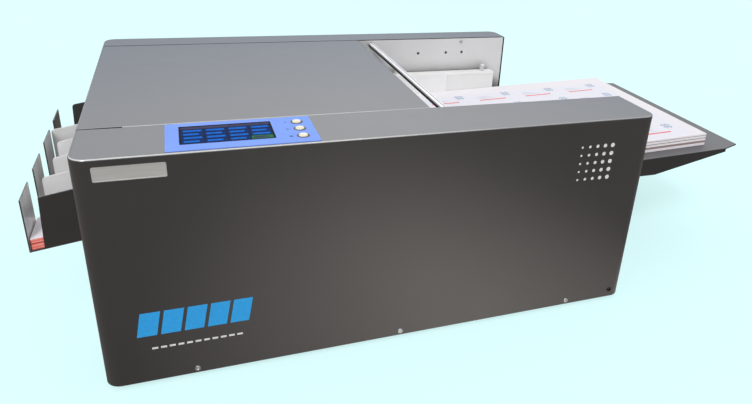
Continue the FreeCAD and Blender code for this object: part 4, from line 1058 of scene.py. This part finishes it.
class CUTTER_OT_side_guides(Maker, Operator):
    """Makes the two white side guides, finishes their pins and knurls the thumb screws"""

    bl_idname = "card_cutter.side_guides"
    bl_label = "Side guides"

    dressed = {"ground_steel": ("guide_pins",)}
    eased = (
        ("front_guide", "front_guide_block", "guide_plastic", "white_plastic", 1.2 * MM),
        ("rear_guide", "rear_guide_block", "guide_plastic", "white_plastic", 1.2 * MM),
    )
    head_height = 12.0 * MM  # of a thumb screw
    knurl_depth = 0.4 * MM
    wear_length = 94.6 * MM  # grained wear strip in the recess of each guide's working face
    wear_low = 4.4 * MM
    wear_top = 3.3 * MM
    wear_end = 0.4 * MM
    wear_thick = 1.9 * MM
    wear_sunk = 0.05 * MM
    wear_ease = 0.1 * MM

    def thumb_screw(self, node):
        start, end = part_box(node)
        centre = (start + end) / 2
        radius = (end.x - start.x) / 2
        head = end.z - self.head_height
        ribs = sizes().knurl_count
        knurl = ribbed(radius - 0.1 * MM, self.knurl_depth, ribs)
        profile = [
            (0.5 * radius, start.z - head),
            (0.5 * radius, 0),
            (0.90 * radius, 0),
            (radius, 0.6 * MM),
            (radius, 10.8 * MM),
            (0.92 * radius, 11.5 * MM),
            (0.82 * radius, self.head_height),
            (0.34 * radius, self.head_height),
            (0.30 * radius, 11.2 * MM),
            (0.05 * radius, 11.2 * MM),
        ]
        bm = bmesh.new()
        turned(bm, placed(centre.x, centre.y, head), profile, 4 * ribs, knurl)
        add_piece(node + "_knurled", bm, "screw_steel", node, (node,))

    def wear_strip(self, node, face, way):
        """Thin grained strip let into a guide's face. way is 1 where the face looks along Y, -1 against it."""
        start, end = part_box(node)
        near, far = sorted((face - way * self.wear_thick, face - way * self.wear_sunk))
        foot = start.z + (end.x - start.x) * math.tan(TABLE_SLOPE) + self.wear_low
        bm = bmesh.new()
        lower = (end.x - self.wear_length, near, foot)
        block(bm, lower, (end.x - self.wear_end, far, end.z - self.wear_top), self.wear_ease)
        body = body_of(frame["nodes"][node])[0]
        add_piece(node + "_wear_strip", bm, "strip_plastic", body)

    def build(self):
        self.wear_strip("front_guide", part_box("front_guide")[1].y, 1)
        self.wear_strip("rear_guide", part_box("rear_guide")[0].y, -1)
        for node in ("inner_guide_knob", "outer_guide_knob"):
            self.thumb_screw(node)


class CUTTER_OT_sheet_stack(Maker, Operator):
    """Makes the stack of printed sheets, sheet by sheet, and the print on the top one"""

    bl_idname = "card_cutter.sheet_stack"
    bl_label = "Sheet stack"

    shuffle = 0.25 * MM      # how far a sheet may be out of line
    inset = 0.3 * MM         # of the sheets' inner ends
    air = 0.06               # share of a sheet's step that stays open
    seed = 7
    # Bands of sheets with the dark edge: ink stains, and at the foot painted shadow under the stack
    ink_and_shadow_bands = ((0.0, 0.03), (0.24, 0.42), (0.60, 0.66), (0.82, 0.87))
    column_first = -29.8 * MM
    column_pitch = 92.6 * MM
    column_count = 5
    card_length = 90.0 * MM
    margin = 1.0 * MM        # of bare paper at the sheet's ends
    bar_ends = (6 * MM, 58 * MM)     # red bar on a card
    bar_sides = (18 * MM, 22 * MM)
    line_count = 3
    line_first = 28          # millimetres, as are the next four
    line_pitch = 5
    line_start = 6
    line_longest = 40
    line_shorter = 7         # each line than the one before it
    line_thick = 1.2 * MM
    check_corner = (59 * MM, 33.5 * MM)
    check_room = (62 * MM, 77 * MM)  # what has to lie on the sheet for a patch of squares
    check_cell = (3.4 * MM, 4.0 * MM)
    check_count = 5

    def build(self):
        place, run, width, deep = lying("sheet_stack", TABLE_SLOPE)
        count = int(deep / sizes().sheet)
        step = deep / count
        chance = random.Random(self.seed)
        plain = bmesh.new()
        stained = bmesh.new()
        for i in range(count):
            top = i == count - 1
            banded = any(first <= i / count < last for first, last in self.ink_and_shadow_bands)
            bm = stained if banded and not top else plain
            out = chance.uniform(-self.shuffle, 0) if not top else 0.0
            side = chance.uniform(0, self.shuffle)
            outline = rectangle(self.inset - out, run + 2 * out, side, width - self.shuffle + side)
            flat_shape(bm, place @ placed(0, 0, i * step), outline, (1 - self.air) * step)
        add_piece("sheets_plain", plain, "sheet_edge", replaces=("sheet_stack",))
        add_piece("sheets_ink_and_shadow", stained, "ink_and_shadow_edge")
        self.top_sheet(place @ placed(0, 0, deep - self.air * step), run, width)

    def top_sheet(self, place, run, width):
        thick = sizes().print_proud
        inset = self.inset
        add_flat("top_sheet", place, [rectangle(0.5 * MM, run - 0.2 * MM, inset, width - inset)], "sheet_top")
        cards, bars, patches = [], [], []
        reach = (self.margin, run - self.margin)
        for column in range(self.column_count):
            left = self.column_first + column * self.column_pitch
            for lane in range(LANE_COUNT):
                near = LANE_FIRST + lane * LANE_PITCH
                self.strip(cards, left, (0, self.card_length), near, near + CARD_DEPTH, reach)
                self.card_print(bars, patches, left, near, reach)
        over = place @ placed(0, 0, thick)
        higher = over @ placed(0, 0, 0.5 * thick)
        add_flat("print_cards", over, cards, "lilac_ink", thick=0.5 * thick)
        add_flat("print_bars", higher, bars, "rose_ink")
        add_flat("print_patches", higher, patches, "slate_ink")

    def strip(self, outlines, left, span, near, far, reach):
        """A rectangle between two distances from left, as far as it lies on the sheet."""
        start = max(left + span[0], reach[0])
        end = min(left + span[1], reach[1])
        if end > start:
            outlines.append(rectangle(start, end, near, far))

    def card_print(self, bars, patches, left, near, reach):
        """One card: a bar, a patch of squares and three short lines."""
        self.strip(bars, left, self.bar_ends, near + self.bar_sides[0], near + self.bar_sides[1], reach)
        if reach[0] < left + self.check_room[0] and left + self.check_room[1] < reach[1]:
            patches.extend(self.checks(left + self.check_corner[0], near + self.check_corner[1]))
        for i in range(self.line_count):
            y = near + (self.line_first + self.line_pitch * i) * MM
            span = (self.line_start * MM, (self.line_longest - self.line_shorter * i) * MM)
            self.strip(patches, left, span, y, y + self.line_thick, reach)

    def checks(self, left, near):
        """Patch of small squares."""
        wide, deep = self.check_cell
        for i in range(self.check_count):
            for j in range(self.check_count):
                if (2 * i + j * j) % 4:
                    x = left + i * wide
                    y = near + j * deep
                    yield rectangle(x, x + wide, y, y + deep)


# --- rollers, knives and cross-cut blade
class CUTTER_OT_rollers(Maker, Operator):
    """Finishes the shafts and puts rubber sleeves and ribbed feed tyres on them"""

    bl_idname = "card_cutter.rollers"
    bl_label = "Rollers"

    sleeved = tuple(
        station + "_" + level + "_roller"
        for station in ("intake", "transport", "exit")
        for level in ("lower", "upper")
    )
    dressed = {"ground_steel": (*sleeved, "feed_roller", "shaft_bearings"), "black_rubber": ("retard_pad",)}
    cover = 0.06 * MM        # sleeve over the plain core that it hides
    length = 330.0 * MM
    radius = 15.0 * MM
    chamfer = 0.8 * MM
    shaft = 7.0 * MM
    steps = 48
    tyre_radius = 18.0 * MM
    tyre_width = 36.0 * MM
    tyre_pitch = 84.0 * MM
    rib_depth = 0.5 * MM

    def profile(self, radius, half):
        """Sleeve round its shaft, half its length to each side, with chamfered ends."""
        edge = [(radius, half - self.chamfer), (radius - self.chamfer, half), (self.shaft, half)]
        return [(reach, -height) for reach, height in reversed(edge)] + edge

    def build(self):
        profile = self.profile(self.radius + self.cover, self.length / 2 + self.cover)
        for node in self.sleeved:
            centre = middle(node)
            bm = bmesh.new()
            turned(bm, along_y(centre.x, CHANNEL_MIDDLE, centre.z), profile, self.steps, closed=True)
            add_piece(node + "_sleeve", bm, "roller_rubber", node)
        centre = middle("feed_roller")
        ribs = sizes().tyre_ribs
        rib = ribbed(self.tyre_radius - self.chamfer, self.rib_depth, ribs)
        profile = self.profile(self.tyre_radius + self.rib_depth / 2, self.tyre_width / 2 + self.cover)
        bm = bmesh.new()
        for i in (-1, 0, 1):
            place = along_y(centre.x, CHANNEL_MIDDLE + i * self.tyre_pitch, centre.z)
            turned(bm, place, profile, 4 * ribs, rib, closed=True)
        add_piece("feed_tyres", bm, "roller_rubber", "feed_roller")


class CUTTER_OT_slitting_knives(Maker, Operator):
    """Finishes the slitting knives and puts a clamped collar beside each upper disc"""

    bl_idname = "card_cutter.slitting_knives"
    bl_label = "Slitting knives"

    dressed = {
        "ground_steel": ("slitter_lower_shaft", "slitter_upper_shaft"),
        "knife_steel": ("slitter_lower_knives", "slitter_upper_knives"),
    }
    radius = 13.0 * MM
    bore = 7.0 * MM
    width = 9.0 * MM
    ease = 0.5 * MM
    blade_gap = 0.3 * MM
    disc = 1.2 * MM
    collar_gap = 0.1 * MM
    steps = 40

    def build(self):
        centre = middle("slitter_upper_knives")
        side = [(self.bore, 0), (self.radius - self.ease, 0), (self.radius, self.ease)]
        profile = side + [(reach, self.width - height) for reach, height in reversed(side)]
        inset = self.blade_gap + self.disc + self.collar_gap
        bm = bmesh.new()
        for lane in range(LANE_COUNT):
            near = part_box("sheet_stack")[0].y + LANE_FIRST + lane * LANE_PITCH
            for y in (near + inset, near + CARD_DEPTH - inset - self.width):
                turned(bm, along_y(centre.x, y, centre.z), profile, self.steps, closed=True)
        add_piece("knife_collars", bm, "machined_alloy", "slitter_upper")


class CUTTER_OT_cross_cut(Maker, Operator):
    """Finishes the cross-cut blade, its beam, frame and drive shaft, and bolts the blade to the beam"""

    bl_idname = "card_cutter.cross_cut"
    bl_label = "Cross-cut blade"

    dressed = {
        "knife_steel": ("cutting_blade", "bed_knife"),
        "machined_alloy": ("blade_beam", "knife_frame"),
        "ground_steel": ("pinion_shaft",),
    }
    bolt_count = 9
    bolt_inset = 18.0 * MM
    bolt_drop = 14.0 * MM
    bolt_radius = 4.0 * MM
    bolt_height = 1.6 * MM
    bolt_sunk = 0.2 * MM
    socket_radius = 1.8 * MM
    steps = 24

    def build(self):
        start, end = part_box("cutting_blade")
        pitch = (end.y - start.y - 2 * self.bolt_inset) / (self.bolt_count - 1)
        height = self.bolt_height
        profile = [
            (self.bolt_radius, -self.bolt_sunk),
            (self.bolt_radius, 0.5 * height),
            (0.85 * self.bolt_radius, 0.9 * height),
            (0.62 * self.bolt_radius, height),
            (self.socket_radius, height),
            (self.socket_radius, 0.25 * height),
            (0.2 * self.socket_radius, 0.25 * height),
        ]
        bm = bmesh.new()
        for i in range(self.bolt_count):
            y = start.y + self.bolt_inset + i * pitch
            turned(bm, placed(end.x, y, end.z - self.bolt_drop, (0, QUARTER, 0)), profile, self.steps)
        add_piece("blade_bolts", bm, "bright_steel", "blade")


class CUTTER_OT_drive(Maker, Operator):
    """Finishes the motors, belts and pulley"""

    bl_idname = "card_cutter.drive"
    bl_label = "Drive"

    dressed = {
        "motor_enamel": ("drive_motor", "blade_motor"),
        "black_rubber": ("drive_belt", "feed_belt"),
        "ground_steel": ("motor_pulley",),
    }


# --- outlet
class CUTTER_OT_card_tray(Maker, Operator):
    """Makes the black card tray and its grey lane dividers, with eased edges"""

    bl_idname = "card_cutter.card_tray"
    bl_label = "Card tray"

    eased = (
        ("card_tray", "card_tray_sheet", "tray_paint", "black_paint"),
        *(
            ("lane_divider_" + lane, "lane_divider_" + lane + "_plate", "divider_plastic", "grey_plastic", 0.4 * MM)
            for lane in "1234"
        ),
    )


class CUTTER_OT_card_stack(Maker, Operator):
    """Makes the cut cards in the front lane: two bundles with red edges, the upper one topped by plain cards"""

    bl_idname = "card_cutter.card_stack"
    bl_label = "Card stack"

    shuffle = 0.3 * MM
    inner = 0.2 * MM         # of the cards' inner ends
    inset = 0.6 * MM         # of the top card's face
    air = 0.1                # share of a card's step that stays open
    seed = 11
    bundle_gap = 1.3 * MM
    bundle_share = 0.55      # of the cards are in the lower bundle
    white_cards = 4          # unprinted cards on top
    stripe_pitch = 9         # cards from one pale card in the bundles to the next
    stripe_first = 4

    def build(self):
        lean = math.tan(TRAY_SLOPE)
        place, run, width, deep = lying("card_stack", TRAY_SLOPE)
        count = int((deep - self.bundle_gap) / sizes().card)
        step = (deep - self.bundle_gap) / count
        chance = random.Random(self.seed)
        red = bmesh.new()
        white = bmesh.new()
        lower = int(self.bundle_share * count)
        for i in range(count):
            pale = i >= count - self.white_cards or i % self.stripe_pitch == self.stripe_first
            rise = i * step + (self.bundle_gap if i >= lower else 0.0)
            out = chance.uniform(0, self.shuffle)
            side = chance.uniform(0, self.shuffle)
            outline = rectangle(self.inner + out, run - out - rise * lean, side, width - self.shuffle + side)
            flat_shape(white if pale else red, place @ placed(rise * lean, 0, rise), outline, (1 - self.air) * step)
        add_piece("red_edged_cards", red, "card_edge", replaces=("card_stack",))
        add_piece("white_edged_cards", white, "card_face")
        top = place @ placed(deep * lean, 0, deep - self.air * step)
        inset = self.inset
        add_flat("top_card", top, [rectangle(inset, run - deep * lean - inset, inset, width - inset)], "card_face")


class CUTTER_OT_waste_bin(Maker, Operator):
    """Makes the waste bin with eased edges"""

    bl_idname = "card_cutter.waste_bin"
    bl_label = "Waste bin"

    eased = (("waste_bin", "waste_bin_shell", "bin_plastic", "grey_plastic", 0.6 * MM),)


# --- power and feet
class CUTTER_OT_power(Maker, Operator):
    """Finishes the mains inlet, its blades, the rocker switch and the power supply"""

    bl_idname = "card_cutter.power"
    bl_label = "Power"

    dressed = {"black_plastic": ("power_inlet", "power_switch"), "zinc_plate": ("power_supply",)}
    inlet_x = 600.0 * MM
    inlet_z = 54.0 * MM
    blade_places = ((-7.0, -2.5), (7.0, -2.5), (0.0, 3.5))
    half_width = 1.1 * MM    # of a blade
    half_height = 2.1 * MM
    blade_drop = 2.8 * MM
    blade_reach = 14.0 * MM
    blade_ease = 0.3 * MM

    def build(self):
        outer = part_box("power_inlet")[1].y - self.blade_drop
        bm = bmesh.new()
        for x, z in self.blade_places:
            x = COVER_LEFT + self.inlet_x + x * MM
            z = COVER_FOOT + self.inlet_z + z * MM
            lower = (x - self.half_width, outer - self.blade_reach, z - self.half_height)
            block(bm, lower, (x + self.half_width, outer, z + self.half_height), self.blade_ease)
        add_piece("inlet_blades", bm, "bright_steel")


class CUTTER_OT_feet(Maker, Operator):
    """Makes the four rubber feet, each with a recess for its screw"""

    bl_idname = "card_cutter.feet"
    bl_label = "Feet"

    inset = 60.0 * MM
    steps = 40
    profile = ((3.0, 3.0), (5.0, 2.4), (5.4, 0.3), (12.8, 0.0), (14.0, 0.6), (16.0, 8.0), (3.0, 8.0))

    def build(self):
        profile = [(radius * MM, height * MM) for radius, height in self.profile]
        bm = bmesh.new()
        for x in (COVER_LEFT + self.inset, COVER_RIGHT - self.inset):
            for y in (FRONT_FACE + self.inset, REAR_FACE - self.inset):
                turned(bm, placed(x, y, 0), profile, self.steps, closed=True)
        add_piece("feet_recessed", bm, "black_rubber", replaces=("rubber_feet",))


# --- stage
class CUTTER_OT_stage(Maker, Operator):
    """Sets up the pale floor, the sky, two soft lamps and the camera"""

    bl_idname = "card_cutter.stage"
    bl_label = "Stage"

    floor_size = 60.0
    pool_middle = (0.0, -0.30, 0.0)
    pool_reach = (0.42, 0.7, 1.0)
    pool_dim = 0.19          # what the floor reflects beyond the pool of light
    pool_tone = (0.88, 0.82, 0.775)
    own_light = 0.72         # share of the floor's colour that the machine's shadow leaves alone
    mirrored_light = 0.35    # the same for the floor's reflection
    lit_share = 0.32         # of its colour that the floor gives back of the lamps' light
    bounce = (0.8, 0.8, 0.8)
    sky_low = (0.17, 0.25, 0.35)
    sky_high = (1.36, 1.37, 1.40)
    sky_rise = (0.20, 0.42)
    sky_bright = (1.20, 1.18, 1.16)   # how much stronger the reflected sky is in its brightest direction
    sky_middle = 0.28        # that direction, towards the feed table
    sky_width = 0.40
    key_angle = 14
    key_aim = (47, 0, -32)
    top_angle = 80
    camera_place = (-0.32797, -0.89847, 0.55457)
    camera_turn = (66.0744, -3.4531, -20.3255)
    sensor = 36.0
    shift = (-0.06934, -0.04769)
    clip_start = 0.01

    def floor(self):
        bm = bmesh.new()
        bmesh.ops.create_grid(bm, x_segments=4, y_segments=4, size=self.floor_size / 2)
        mesh = bpy.data.meshes.new("floor")
        bm.to_mesh(mesh)
        bm.free()
        piece = bpy.data.objects.new("floor", mesh)
        bpy.context.scene.collection.objects.link(piece)
        mesh.materials.append(self.floor_finish())

    def floor_finish(self):
        """Lit floor that keeps the shadow, topped up with its own colour where it is seen, and where it is reflected
        shown as a painted pool of warm light in front of the machine.
        """
        finish = Finish("pale floor")
        rgb = colours().floor
        nodes = finish.tree.nodes
        nodes.remove(finish.surface)
        path = finish.node("ShaderNodeLightPath").outputs
        camera = path["Is Camera Ray"]
        mirrored = finish.math("MAXIMUM", path["Is Glossy Ray"], path["Is Transmission Ray"])
        seen = finish.math("MAXIMUM", camera, mirrored)
        place = finish.node("ShaderNodeNewGeometry").outputs["Position"]
        scaled = finish.vector_math(
            "DIVIDE", finish.vector_math("SUBTRACT", place, self.pool_middle), self.pool_reach
        )
        away = finish.node("ShaderNodeVectorMath", {0: scaled}, operation="LENGTH").outputs["Value"]
        pool = finish.math("MAXIMUM", finish.spread(away, 1.0, self.pool_dim, (0.1, 1.0)), camera)
        shown = finish.blend(pool, (0, 0, 0), finish.blend(mirrored, rgb, self.pool_tone))
        dimmed = finish.blend(pool, (0, 0, 0), shade(self.pool_tone, 1 - self.mirrored_light))
        lit_tone = finish.blend(seen, self.bounce, finish.blend(camera, dimmed, shade(rgb, self.lit_share)))
        own = finish.math("MULTIPLY", camera, self.own_light)
        glow = finish.math("ADD", own, finish.math("MULTIPLY", mirrored, self.mirrored_light))
        both = finish.node("ShaderNodeAddShader", {
            0: finish.node("ShaderNodeBsdfDiffuse", {"Color": lit_tone}).outputs[0],
            1: finish.node("ShaderNodeEmission", {"Color": shown, "Strength": glow}).outputs[0],
        })
        finish.feed(nodes["Material Output"].inputs["Surface"], both.outputs[0])
        return finish.material

    def sky(self, strength):
        """Even light. Seen it is as pale as the floor. Reflected it is darker and bluer towards the horizon."""
        world = bpy.data.worlds.new("pale sky")
        bpy.context.scene.world = world
        world.use_nodes = True
        tree = Tree(world.node_tree)
        path = tree.node("ShaderNodeLightPath").outputs
        way = tree.node("ShaderNodeTexCoord").outputs["Generated"]
        height = tree.spread(tree.axis("Z", way), clip=self.sky_rise)
        aside = tree.math("ABSOLUTE", tree.math("SUBTRACT", tree.axis("X", way), self.sky_middle))
        beside = tree.spread(aside, clip=(0, self.sky_width))
        reflected = tree.vector_math(
            "MULTIPLY",
            tree.blend(height, self.sky_low, self.sky_high),
            tree.blend(beside, self.sky_bright, (1, 1, 1)),
        )
        shown = tree.blend(path["Is Glossy Ray"], (strength, strength, strength), reflected)
        shown = tree.blend(path["Is Transmission Ray"], shown, colours().floor)
        shown = tree.blend(path["Is Camera Ray"], shown, colours().floor)
        tree.feed(world.node_tree.nodes["Background"].inputs["Color"], shown)

    def lamp(self, name, strength, angle, aim):
        data = bpy.data.lights.new(name, "SUN")
        data.energy = strength
        data.angle = math.radians(angle)
        lamp = bpy.data.objects.new(name, data)
        lamp.rotation_euler = [math.radians(turn) for turn in aim]
        bpy.context.scene.collection.objects.link(lamp)

    def camera(self, lens):
        data = bpy.data.cameras.new("camera")
        data.sensor_width = self.sensor
        data.lens = lens
        data.shift_x, data.shift_y = self.shift
        data.clip_start = self.clip_start
        camera = bpy.data.objects.new("camera", data)
        camera.location = self.camera_place
        camera.rotation_euler = [math.radians(turn) for turn in self.camera_turn]
        bpy.context.scene.collection.objects.link(camera)
        bpy.context.scene.camera = camera

    def build(self):
        scene = bpy.context.scene
        stage = scene.card_cutter.stage
        self.floor()
        self.sky(stage.sky)
        self.lamp("key lamp", stage.key, self.key_angle, self.key_aim)
        self.lamp("top lamp", stage.top, self.top_angle, (0, 0, 0))
        self.camera(stage.lens)
        scene.view_settings.view_transform = "Standard"


# --- sidebar and start
PIECES = tuple(Maker.__subclasses__())   # the operators, in the order above


class CUTTER_PT_sidebar(bpy.types.Panel):
    """Lists the settings and the pieces"""

    bl_idname = "CUTTER_PT_sidebar"
    bl_label = "Business card cutter"
    bl_space_type = "VIEW_3D"
    bl_region_type = "UI"
    bl_category = "Card Cutter"

    def draw(self, context):
        settings = context.scene.card_cutter
        for group in (settings.colours, settings.sizes, settings.stage):
            column = self.layout.box().column(align=True)
            for name in group.__annotations__:
                column.prop(group, name)
        for piece in PIECES:
            self.layout.operator(piece.bl_idname)


CLASSES = (CutterColours, CutterSizes, CutterStage, CutterSettings, *PIECES, CUTTER_PT_sidebar)


def register():
    for each in CLASSES:
        bpy.utils.register_class(each)
    bpy.types.Scene.card_cutter = PointerProperty(type=CutterSettings)


def unregister():
    del bpy.types.Scene.card_cutter
    for each in reversed(CLASSES):
        bpy.utils.unregister_class(each)


def main():
    register()
    for piece in PIECES:
        group, name = piece.bl_idname.split(".")
        getattr(getattr(bpy.ops, group), name)()


if __name__ == "__main__":
    main()
